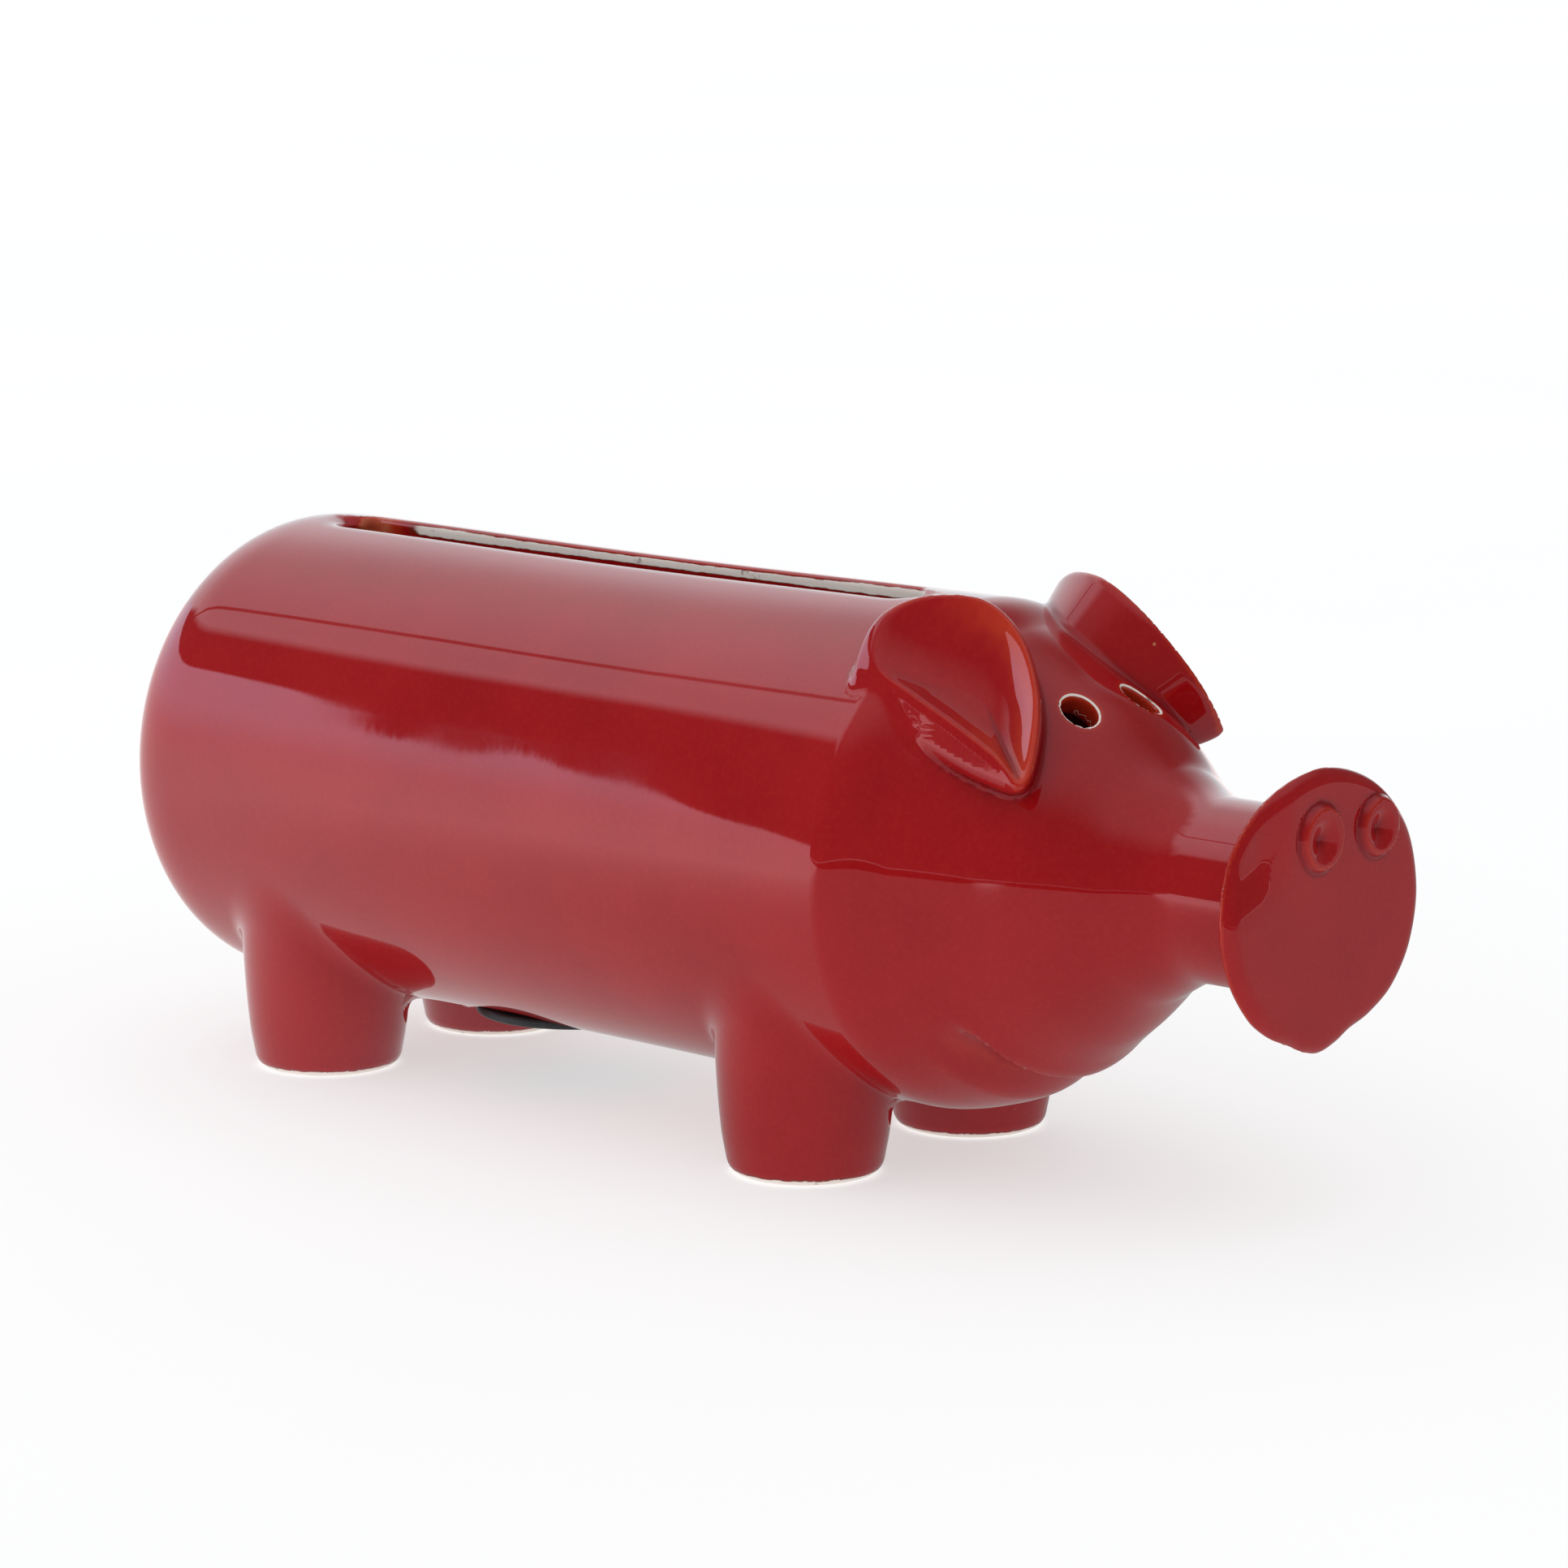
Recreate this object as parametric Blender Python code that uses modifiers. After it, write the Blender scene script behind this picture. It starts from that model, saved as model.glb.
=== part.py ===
"""A ceramic pig coin bank: a bottle with luted-on snout, ears, legs and tail, and a rubber stopper.

Metres, +Z up. The pig faces -Y, its own left is +X, and its feet stand on Z = 0.
Places along the body are given as distances forward of the bottle's rear end.
"""

import math

import bmesh
import bpy
import numpy as np
from mathutils import Matrix, Vector

# Whole object
REAR_Y = 0.10435
AXIS_Z = 0.0461
GAP = 0.0003

# Bottle: the dome at the rear, the barrel, then the head narrowing to a neck
BARREL_R = 0.037
WAIST_R = 0.0366
DOME_LENGTH = 0.0189
DOME_POWER = 3.5
SHOULDER = 0.1503
NECK = 0.1938
NECK_R = 0.01307
NECK_END = 0.2087
WALL = 0.0043
FLOOR_EXTRA = 0.001

# Head sections, evenly spaced from shoulder to neck: radius, rise of the centre, width over height
HEAD_RADII = (BARREL_R, 0.0343, 0.02985, 0.0240, 0.0165, NECK_R)
HEAD_RISES = (0.0, -0.00095, -0.00125, -0.0003, 0.0, 0.0004)
HEAD_OVALS = (1.0, 0.90, 0.87, 0.96, 1.05, 1.0)

# Openings in the bottle
SLOT_START = 0.021
SLOT_END = 0.138
SLOT_WIDTH = 0.0052
LIP_RADIUS = 0.007
LIP_DEPTH = 0.0019
EYE_AT = 0.1741
EYE_X = 0.00695
EYE_Z = 0.0710
EYE_R = 0.0029
EYE_LOOKS = (0.215, -0.56, 0.80)
MOUTH_AT = 0.1699
MOUTH_RISE = 0.0054
MOUTH_HALF_ANGLE = math.radians(56)
MOUTH_R = 0.0014

# Belly stopper
STOPPER_AT = 0.0681
HOLE_R = 0.013
SEAT_R = 0.0159
SEAT_Z = 0.0126
FLANGE_R = 0.0155
FLANGE_Z = 0.0109
PLUG_TOP_Z = 0.0190
PLUG_WALL = 0.0025

# Legs
LEG_X = 0.018
REAR_LEG_AT = 0.0312
FRONT_LEG_AT = 0.1320
LEG_TOP_Z = 0.034
LEG_PROFILE = ((0.0141, 0.022), (0.0130, 0.014), (0.0122, 0.006), (0.0114, 0.002), (0.0101, 0.0))

# Snout disc and nostrils
DISC_BACK = 0.2090
DISC_THICKNESS = 0.0030
DISC_EDGE = 0.0008
DISC_OUTLINE = (
    (0.0, 0.0199),
    (0.0115, 0.0173),
    (0.0193, 0.0108),
    (0.0219, 0.0017),
    (0.0202, -0.0065),
    (0.0156, -0.0129),
    (0.0102, -0.0164),
    (0.0056, -0.0188),
    (0.0029, -0.0199),
    (0.0, -0.0203),
)
NOSTRILS = {"nostril_right": (-0.0022, 0.00475), "nostril_left": (0.0107, 0.00435)}
NOSTRIL_Z = 0.0565
NOSTRIL_RISE = 0.0013

# Ears: the rim's outline, from the pointed tip round by the lower edge, and the cup's deepest point
EAR_CENTRE_X = 0.0209
EAR_CENTRE_Z = 0.0748
EAR_AT = 0.1633
EAR_FACES = Vector((0.776, -0.300, 0.555))
EAR_RUNS = Vector((-0.124, 0.790, 0.601))
EAR_OUTLINE = (
    (-0.0197, -0.0018),
    (-0.0140, -0.0061),
    (-0.0050, -0.0098),
    (0.0040, -0.0124),
    (0.0102, -0.0132),
    (0.0152, -0.0095),
    (0.0178, -0.0032),
    (0.0152, 0.0040),
    (0.0092, 0.0102),
    (0.0010, 0.0115),
    (-0.0080, 0.0088),
    (-0.0152, 0.0041),
)
EAR_CUP = (-0.0045, 0.0040)
EAR_ROOT_DEPTH = 0.016
EAR_ROOT_SCALE = 0.66

# Tail: a curl lying on the rear dome
TAIL_Z = 0.0545
TAIL_OUTER_R = 0.0088
TAIL_PITCH = 0.0052
TAIL_TURNS = 1.15
TAIL_ROPE_R = 0.0023

# Fineness of the meshes
ROUND_STEPS = 48
LEG_STEPS = 32
SMALL_STEPS = 24
OUTLINE_STEPS = 4

GLAZE = (0.27, 0.012, 0.018)
RUBBER = (0.028, 0.030, 0.034)


def along(distance):
    """World Y of a place this far forward of the bottle's rear end."""
    return REAR_Y - distance


def clear_scene():
    for obj in list(bpy.data.objects):
        bpy.data.objects.remove(obj)


def collection(name):
    made = bpy.data.collections.new(name)
    bpy.context.scene.collection.children.link(made)
    return made


def material(name, colour, roughness):
    made = bpy.data.materials.new(name)
    made.use_nodes = True
    shader = made.node_tree.nodes["Principled BSDF"]
    shader.inputs["Base Color"].default_value = (*colour, 1.0)
    shader.inputs["Roughness"].default_value = roughness
    shader.inputs["Metallic"].default_value = 0.0
    return made


def add_object(name, mesh, into, colour=None, roughness=0.12):
    """An object in a collection: a part where it has a colour, and otherwise a cutter."""
    obj = bpy.data.objects.new(name, mesh)
    into.objects.link(obj)
    if colour is None:
        obj.hide_render = True
        obj.display_type = "WIRE"
    else:
        mesh.materials.append(material(name, colour, roughness))
        mesh.shade_smooth()
        mesh.set_sharp_from_angle(angle=math.radians(40))
    return obj


def mesh_of(name, bm):
    bmesh.ops.recalc_face_normals(bm, faces=bm.faces)
    mesh = bpy.data.meshes.new(name)
    bm.to_mesh(mesh)
    bm.free()
    return mesh


def baked(obj):
    """The evaluated mesh of a scratch object, which is then removed."""
    obj_graph = bpy.context.evaluated_depsgraph_get()
    mesh = bpy.data.meshes.new_from_object(obj.evaluated_get(obj_graph))
    bpy.data.objects.remove(obj)
    return mesh


def turned(name, profile, steps):
    """A closed solid turned about local Z from (radius, height) points, listed down its outer side."""
    bm = bmesh.new()
    points = [bm.verts.new((radius, 0.0, height)) for radius, height in profile]
    for upper, lower in zip(points, points[1:]):
        bm.edges.new((upper, lower))
    mesh = bpy.data.meshes.new(name)
    bm.to_mesh(mesh)
    bm.free()
    obj = bpy.data.objects.new(name, mesh)
    bpy.context.scene.collection.objects.link(obj)
    screw = obj.modifiers.new("turn", "SCREW")
    screw.steps = steps
    screw.render_steps = steps
    screw.use_merge_vertices = True
    screw.merge_threshold = 0.00001
    return baked(obj)


def smooth_between(stations, values, at):
    """Values on a smooth curve through the stations that never overshoots them."""
    stations = np.asarray(stations, float)
    values = np.asarray(values, float)
    width = np.diff(stations)
    slope = np.diff(values) / width
    tangent = np.zeros(len(values))
    for i in range(1, len(values) - 1):
        if slope[i - 1] * slope[i] > 0:
            before = 2 * width[i] + width[i - 1]
            after = width[i] + 2 * width[i - 1]
            tangent[i] = (before + after) / (before / slope[i - 1] + after / slope[i])
    i = np.clip(np.searchsorted(stations, at) - 1, 0, len(width) - 1)
    t = np.clip((at - stations[i]) / width[i], 0, 1)
    cubic = 2 * t**3 - 3 * t**2
    run = width[i]
    return (
        (1 + cubic) * values[i]
        - cubic * values[i + 1]
        + (t**3 - 2 * t**2 + t) * run * tangent[i]
        + (t**3 - t**2) * run * tangent[i + 1]
    )


def head_value(values, distance):
    """A head section's value at a distance: constant along the barrel and along the neck."""
    stations = np.linspace(SHOULDER, NECK, len(values))
    return float(smooth_between(stations, values, distance))


def bottle_radius(distance, inset=0.0):
    """Radius of the bottle, or of the surface this far inside it."""
    if distance < DOME_LENGTH:
        depth = (DOME_LENGTH - distance) / (DOME_LENGTH - inset)
        return (BARREL_R - inset) * max(0.0, 1 - depth**DOME_POWER) ** (1 / DOME_POWER)
    if distance > SHOULDER:
        return head_value(HEAD_RADII, distance) - inset
    middle = (distance - DOME_LENGTH) / (SHOULDER - DOME_LENGTH)
    return BARREL_R - (BARREL_R - WAIST_R) * math.sin(math.pi * middle) ** 2 - inset


def bottle_stations(inset, end):
    """Distances of the bottle's rings, from its open end back to the rear."""
    head = np.linspace(NECK, SHOULDER, 13)
    barrel = np.linspace(SHOULDER, DOME_LENGTH, 5)[1:]
    angles = np.linspace(0, math.pi / 2, 9)[1:]
    dome = [DOME_LENGTH - (DOME_LENGTH - inset) * math.sin(angle) for angle in angles]
    return [end, *head, *barrel, *dome]


def bottle_profile(inset, end):
    """The bottle's outline from its open end back to the axis at the rear, at this inset."""
    stations = bottle_stations(inset, end)
    profile = [(bottle_radius(distance, inset), distance) for distance in stations]
    profile[-1] = (0.0, stations[-1])
    return profile


def bottle(name, profile):
    """A round bottle turned from its outline, made oval at the head and laid along the body's axis.

    Inside the skin, the cavity is set a little higher than the skin, which leaves a thicker floor.
    """
    mesh = turned(name, profile, ROUND_STEPS)
    for vertex in mesh.vertices:
        distance = vertex.co.z
        inside = math.hypot(vertex.co.x, vertex.co.y) < bottle_radius(max(distance, 0.0)) - WALL / 2
        fade = np.clip((NECK - distance) / (NECK - SHOULDER), 0, 1)
        lift = FLOOR_EXTRA * fade if inside else 0.0
        vertex.co.x *= head_value(HEAD_OVALS, distance)
        vertex.co.y += head_value(HEAD_RISES, distance) + lift
    mesh.transform(Matrix.Translation((0, REAR_Y, AXIS_Z)) @ Matrix.Rotation(math.pi / 2, 4, "X"))
    return mesh


def skin_point(distance, angle):
    """World point on the bottle's skin at an angle from straight down, towards +X."""
    radius = bottle_radius(distance)
    x = radius * head_value(HEAD_OVALS, distance) * math.sin(angle)
    z = AXIS_Z + head_value(HEAD_RISES, distance) - radius * math.cos(angle)
    return Vector((x, along(distance), z))


def cylinder(name, radius, bottom, top, steps):
    """A solid cylinder standing on local Z."""
    bm = bmesh.new()
    bmesh.ops.create_cone(
        bm, cap_ends=True, segments=steps, radius1=radius, radius2=radius, depth=top - bottom
    )
    bmesh.ops.translate(bm, verts=bm.verts, vec=(0, 0, (top + bottom) / 2))
    return mesh_of(name, bm)


def stretched(mesh, length):
    """Moves the two halves of a round shape apart along Y by this length, which makes it long."""
    for vertex in mesh.vertices:
        if abs(vertex.co.y) > 1e-6:
            vertex.co.y += math.copysign(length / 2, vertex.co.y)
    return mesh


def tube(name, points, radii, resolution):
    """A round rope with closed ends along points, as a mesh."""
    curve = bpy.data.curves.new(name, "CURVE")
    curve.dimensions = "3D"
    curve.bevel_depth = 1.0
    curve.bevel_resolution = resolution
    curve.use_fill_caps = True
    spline = curve.splines.new("POLY")
    spline.points.add(len(points) - 1)
    for place, point, radius in zip(spline.points, points, radii):
        place.co = (*point, 1.0)
        place.radius = radius
    obj = bpy.data.objects.new(name, curve)
    bpy.context.scene.collection.objects.link(obj)
    mesh = baked(obj)
    bm = bmesh.new()
    bm.from_mesh(mesh)
    bmesh.ops.remove_doubles(bm, verts=bm.verts, dist=0.00001)
    bpy.data.meshes.remove(mesh)
    return mesh_of(name, bm)


def rounded_outline(corners):
    """A closed smooth curve through these points, as a list of 2D points."""
    count = len(corners)
    curve = []
    for i in range(count):
        a, b, c, d = (np.array(corners[(i + k) % count]) for k in (-1, 0, 1, 2))
        bend = 2 * a - 5 * b + 4 * c - d
        twist = 3 * b - a - 3 * c + d
        for step in range(OUTLINE_STEPS):
            t = step / OUTLINE_STEPS
            curve.append(b + 0.5 * ((c - a) * t + bend * t**2 + twist * t**3))
    return curve


def stacked(name, outline, layers, towards=(0.0, 0.0)):
    """A solid whose sections are one outline at several (height, scale, drift) layers.

    A layer's drift is its share of the sideways move to the point towards.
    """
    bm = bmesh.new()
    rings = []
    for height, scale, drift in layers:
        ring = []
        for x, y in outline:
            place = (x * scale + towards[0] * drift, y * scale + towards[1] * drift, height)
            ring.append(bm.verts.new(place))
        rings.append(ring)
    for lower, upper in zip(rings, rings[1:]):
        for i in range(len(outline)):
            j = (i + 1) % len(outline)
            bm.faces.new((lower[i], lower[j], upper[j], upper[i]))
    bm.faces.new(rings[0])
    bm.faces.new(rings[-1])
    return mesh_of(name, bm)


def cut(obj, cutter):
    boolean = obj.modifiers.new(cutter.name, "BOOLEAN")
    boolean.operation = "DIFFERENCE"
    boolean.object = cutter


def add_body(parts, cutters):
    """The hollow bottle, its coin slot with soft lips, eye holes, mouth fold and stopper hole."""
    skin = bottle_profile(0.0, NECK_END)
    cavity = bottle_profile(WALL, NECK_END)
    body = add_object("body_shell", bottle("body_shell", cavity[::-1] + skin), parts, GLAZE)

    slot_length = SLOT_END - SLOT_START
    slot_y = along((SLOT_START + SLOT_END) / 2)
    slot = stretched(cylinder("slot", SLOT_WIDTH / 2, 0.06, 0.10, 16), slot_length - SLOT_WIDTH)
    slot_cutter = add_object("slot", slot, cutters)
    slot_cutter.location = (0, slot_y, 0)

    bm = bmesh.new()
    bmesh.ops.create_uvsphere(bm, u_segments=32, v_segments=16, radius=LIP_RADIUS)
    half_step = Matrix.Rotation(math.pi / 32, 3, "Z")
    bmesh.ops.rotate(bm, verts=bm.verts, matrix=Matrix.Rotation(math.pi / 2, 3, "X") @ half_step)
    lip_cutter = add_object("lip", stretched(mesh_of("lip", bm), slot_length - SLOT_WIDTH), cutters)
    lip_cutter.location = (0, slot_y, AXIS_Z + BARREL_R + LIP_RADIUS - LIP_DEPTH)
    cut(body, lip_cutter)
    cut(body, slot_cutter)

    for side, sign in (("right", -1), ("left", 1)):
        eye = cylinder(f"eye_{side}", EYE_R, -0.009, 0.009, SMALL_STEPS)
        eye_cutter = add_object(f"eye_{side}", eye, cutters)
        looks = Vector((sign * EYE_LOOKS[0], EYE_LOOKS[1], EYE_LOOKS[2]))
        eye_cutter.rotation_euler = looks.to_track_quat("Z", "Y").to_euler()
        eye_cutter.location = (sign * EYE_X, along(EYE_AT), EYE_Z)
        cut(body, eye_cutter)

    angles = np.linspace(-MOUTH_HALF_ANGLE, MOUTH_HALF_ANGLE, 17)
    fold = [
        skin_point(MOUTH_AT - MOUTH_RISE * (angle / MOUTH_HALF_ANGLE) ** 2, angle) for angle in angles
    ]
    radii = [MOUTH_R * (0.35 + 0.65 * math.cos(angle / MOUTH_HALF_ANGLE * 1.5)) for angle in angles]
    cut(body, add_object("mouth", tube("mouth", fold, radii, 2), cutters))

    for name, radius, top in (("seat", SEAT_R, SEAT_Z), ("belly_hole", HOLE_R, 0.024)):
        opening = add_object(name, cylinder(name, radius, -0.002, top, ROUND_STEPS), cutters)
        opening.location = (0, along(STOPPER_AT), 0)
        cut(body, opening)


def add_stopper(parts):
    """The rubber plug: a flange that sits in the belly's seat, and a cup-shaped neck in the hole."""
    neck_r = HOLE_R - GAP
    flange_top = SEAT_Z - GAP
    cup_floor = flange_top + 0.0008
    profile = (
        (0.0, cup_floor),
        (neck_r - PLUG_WALL, cup_floor),
        (neck_r - PLUG_WALL, PLUG_TOP_Z),
        (neck_r - 0.0008, PLUG_TOP_Z),
        (neck_r, PLUG_TOP_Z - 0.0010),
        (neck_r, flange_top),
        (FLANGE_R - 0.0003, flange_top),
        (FLANGE_R, flange_top - 0.0004),
        (FLANGE_R, FLANGE_Z + 0.0005),
        (FLANGE_R - 0.0006, FLANGE_Z),
        (0.0075, FLANGE_Z),
        (0.0068, FLANGE_Z + 0.0006),
        (0.0, FLANGE_Z + 0.0006),
    )
    lowered = [(radius, height - FLANGE_Z) for radius, height in profile]
    stopper = add_object("belly_stopper", turned("belly_stopper", lowered, ROUND_STEPS), parts, RUBBER, 0.6)
    stopper.location = (0, along(STOPPER_AT), FLANGE_Z)


def add_legs(parts, clearance):
    """Four solid tapered legs with flat feet, cut to the barrel."""
    profile = [(0.0, LEG_TOP_Z), (LEG_PROFILE[0][0], LEG_TOP_Z), *LEG_PROFILE, (0.0, 0.0)]
    for end, distance in (("rear", REAR_LEG_AT), ("front", FRONT_LEG_AT)):
        for side, sign in (("right", -1), ("left", 1)):
            name = f"leg_{end}_{side}"
            leg = add_object(name, turned(name, profile, LEG_STEPS), parts, GLAZE)
            leg.location = (sign * LEG_X, along(distance), 0)
            cut(leg, clearance)


def add_ears(parts, clearance):
    """Two cupped, leaf-shaped ears that stand on the head, open to the side."""
    outline = rounded_outline(EAR_OUTLINE)
    layers = (
        (-EAR_ROOT_DEPTH, EAR_ROOT_SCALE, 0.0),
        (-0.0008, 1.0, 0.0),
        (0.0, 0.97, 0.0),
        (0.0, 0.88, 0.15),
        (-0.0013, 0.66, 0.6),
        (-0.0023, 0.42, 0.9),
        (-0.0028, 0.20, 1.0),
    )
    for side, sign in (("right", -1), ("left", 1)):
        name = f"ear_{side}"
        faces = Vector((sign * EAR_FACES.x, EAR_FACES.y, EAR_FACES.z)).normalized()
        runs = Vector((sign * EAR_RUNS.x, EAR_RUNS.y, EAR_RUNS.z)).normalized()
        across = runs.cross(faces) * -sign
        turn = Matrix((runs, across, faces)).transposed().to_4x4()
        mesh = stacked(name, outline, layers, EAR_CUP)
        mesh.transform(turn)
        if sign < 0:
            mesh.flip_normals()
        ear = add_object(name, mesh, parts, GLAZE)
        ear.location = (sign * EAR_CENTRE_X, along(EAR_AT), EAR_CENTRE_Z)
        cut(ear, clearance)


def add_snout(parts):
    """The disc that closes the neck, with a blunt point below, and two pressed pellets as nostrils."""
    corners = list(DISC_OUTLINE) + [(-x, z) for x, z in DISC_OUTLINE[-2:0:-1]]
    edge_scale = 1 - DISC_EDGE / 0.021
    layers = (
        (0.0, edge_scale, 0.0),
        (DISC_EDGE, 1.0, 0.0),
        (DISC_THICKNESS - DISC_EDGE, 1.0, 0.0),
        (DISC_THICKNESS, edge_scale, 0.0),
    )
    mesh = stacked("snout_disc", rounded_outline(corners), layers)
    mesh.transform(Matrix.Rotation(math.pi / 2, 4, "X"))
    disc = add_object("snout_disc", mesh, parts, GLAZE)
    disc.location = (0, along(DISC_BACK), AXIS_Z)

    front = along(DISC_BACK + DISC_THICKNESS + GAP)
    for name, (x, radius) in NOSTRILS.items():
        profile = (
            (0.0, 0.0003),
            (radius * 0.30, 0.0005),
            (radius * 0.58, NOSTRIL_RISE),
            (radius * 0.80, NOSTRIL_RISE),
            (radius, 0.0005),
            (radius * 0.97, 0.0),
            (0.0, 0.0),
        )
        nostril = add_object(name, turned(name, profile, SMALL_STEPS), parts, GLAZE)
        nostril.rotation_euler = (math.pi / 2, 0, 0)
        nostril.location = (x, front, NOSTRIL_Z)


def add_tail(parts):
    """A short rope of clay, curled inwards and pressed flat against the rear dome."""
    count = 26
    points = []
    radii = []
    for i in range(count):
        share = i / (count - 1)
        angle = math.radians(-70) + share * TAIL_TURNS * 2 * math.pi
        radius = TAIL_OUTER_R - TAIL_PITCH * TAIL_TURNS * share
        points.append((radius * math.cos(angle), 0.0, radius * math.sin(angle)))
        radii.append(TAIL_ROPE_R * (1 - 0.3 * share))
    tail = add_object("tail", tube("tail", points, radii, 3), parts, GLAZE)
    tail.location = (0, REAR_Y + GAP + TAIL_ROPE_R, TAIL_Z)


def main():
    clear_scene()
    parts = collection("pig_coin_bank")
    cutters = collection("cutters")
    around = [(0.0, NECK_END), *bottle_profile(-GAP, NECK_END)]
    clearance = add_object("clearance", bottle("clearance", around), cutters)
    add_body(parts, cutters)
    add_stopper(parts)
    add_legs(parts, clearance)
    add_ears(parts, clearance)
    add_snout(parts)
    add_tail(parts)


main()
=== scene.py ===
"""The looks of the ceramic pig coin bank: a fused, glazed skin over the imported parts, and its rubber stopper.

Metres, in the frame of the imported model: +Z up, the pig faces -Y and its own left is +X. The ceramic is
one implicit surface, positive outside, which is meshed once and then split into the pieces that the
potter joined, so that neighbours share their seam. "Distance along" counts forward from the rear end.
"""

import math

import bmesh
import bpy
import numpy as np
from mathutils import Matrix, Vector


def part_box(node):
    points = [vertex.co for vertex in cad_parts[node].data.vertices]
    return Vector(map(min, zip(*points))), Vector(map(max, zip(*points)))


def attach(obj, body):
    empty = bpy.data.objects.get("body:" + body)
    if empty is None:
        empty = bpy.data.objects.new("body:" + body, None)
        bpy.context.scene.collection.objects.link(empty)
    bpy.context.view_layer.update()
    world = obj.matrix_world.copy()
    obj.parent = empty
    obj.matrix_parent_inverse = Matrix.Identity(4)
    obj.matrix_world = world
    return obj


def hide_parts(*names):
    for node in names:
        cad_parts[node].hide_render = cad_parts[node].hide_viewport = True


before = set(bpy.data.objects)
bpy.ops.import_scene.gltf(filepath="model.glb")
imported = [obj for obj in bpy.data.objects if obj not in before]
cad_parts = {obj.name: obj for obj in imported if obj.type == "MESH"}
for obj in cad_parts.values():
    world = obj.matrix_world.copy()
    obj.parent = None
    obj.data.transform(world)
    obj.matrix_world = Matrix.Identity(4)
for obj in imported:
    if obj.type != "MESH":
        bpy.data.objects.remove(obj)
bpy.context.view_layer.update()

# Camera
VIEW_AZIMUTH = math.radians(-47.5)
VIEW_ELEVATION = math.radians(10.28)
VIEW_DISTANCE = 0.8232
VIEW_TARGET = Vector((0.0, -0.0072, 0.0514))
LENS_MM = 127.8

# Bottle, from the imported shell's box
SHELL_LOW, SHELL_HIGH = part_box("body_shell")
REAR_Y = SHELL_HIGH.y
BARREL_R = (SHELL_HIGH.x - SHELL_LOW.x) / 2
AXIS_Z = SHELL_LOW.z + BARREL_R
NECK_END = REAR_Y - SHELL_LOW.y
WAIST_DEPTH = 0.0004
DOME_LENGTH = 0.0189
DOME_POWER = 3.5
SHOULDER = 0.1503
NECK = 0.1938
NECK_R = 0.01307
NECK_IN_DISC = 0.0015
WALL = 0.0043
FLOOR_EXTRA = 0.001
CAVITY_ENDS_SHORT = 0.004
CAVITY_CORNER = 0.003
HEAD_RADII = (BARREL_R, 0.0343, 0.02985, 0.0240, 0.0165, NECK_R)
HEAD_RISES = (0.0, -0.00095, -0.00125, -0.0003, 0.0, 0.0004)
HEAD_OVALS = (1.0, 0.90, 0.87, 0.96, 1.05, 1.0)

# Coin slot, eyes and mouth
SLOT_START = 0.021
SLOT_END = 0.138
SLOT_HALF = 0.0021
NEAR_LIP_ROUNDING = 0.0062
FAR_LIP_ROUNDING = 0.0009
LIPS_MEET = 0.0015
EYE_AT = 0.1741
EYE_X = 0.00695
EYE_Z = 0.0710
EYE_R = 0.0024
EYE_TALLNESS = 1.28
LEFT_EYE_WIDTH = 1.30
EYE_HOLE_REACH = 0.009
EYE_ROUNDING = 0.0008
EYE_LOOKS = (0.215, -0.56, 0.80)
MOUTH_AT = 0.1699
MOUTH_RISE = 0.0054
MOUTH_HALF_ANGLE = math.radians(56)
MOUTH_DEPTH = 0.0031
MOUTH_REACH = 0.0075

# Belly seat and hole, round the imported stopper
STOPPER_LOW, STOPPER_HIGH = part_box("belly_stopper")
STOPPER_Y = (STOPPER_LOW.y + STOPPER_HIGH.y) / 2
FLANGE_R = (STOPPER_HIGH.x - STOPPER_LOW.x) / 2
SEAT_R = FLANGE_R + 0.0004
SEAT_Z = 0.0126
SEAT_ROUNDING = 0.0008
HOLE_R = 0.0130
HOLE_ROUNDING = 0.0006

# Legs, round each packed leg's middle
LEG_STATIONS = (0.0, 0.002, 0.006, 0.014, 0.022, 0.034)
LEG_RADII = (0.0112, 0.0115, 0.0122, 0.0129, 0.0133, 0.0136)
LEG_BLEND = 0.0021
NEAR_LEGS_FORWARD = 0.0010
FOOT_ROUNDING = 0.0020
BARE_FOOT = 0.0009

# Snout disc and nostrils
DISC_LOW, DISC_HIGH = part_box("snout_disc")
DISC_BLEND = 0.0016
DISC_EDGE_ROUNDING = 0.0028
DISC_OUTLINE = (
    (0.0, 0.0199),
    (0.0113, 0.0169),
    (0.0190, 0.0100),
    (0.0219, 0.0008),
    (0.0205, -0.0075),
    (0.0164, -0.0134),
    (0.0112, -0.0166),
    (0.0066, -0.0181),
    (0.0034, -0.0195),
    (0.0, -0.0203),
    (-0.0034, -0.0196),
    (-0.0064, -0.0183),
    (-0.0108, -0.0165),
    (-0.0157, -0.0130),
    (-0.0202, -0.0065),
    (-0.0219, 0.0017),
    (-0.0193, 0.0108),
    (-0.0115, 0.0173),
)
NOSTRIL_RISE = 0.0012
NOSTRIL_DIMPLE = 0.0002
DISC_LEAN = 0.0013

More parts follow.
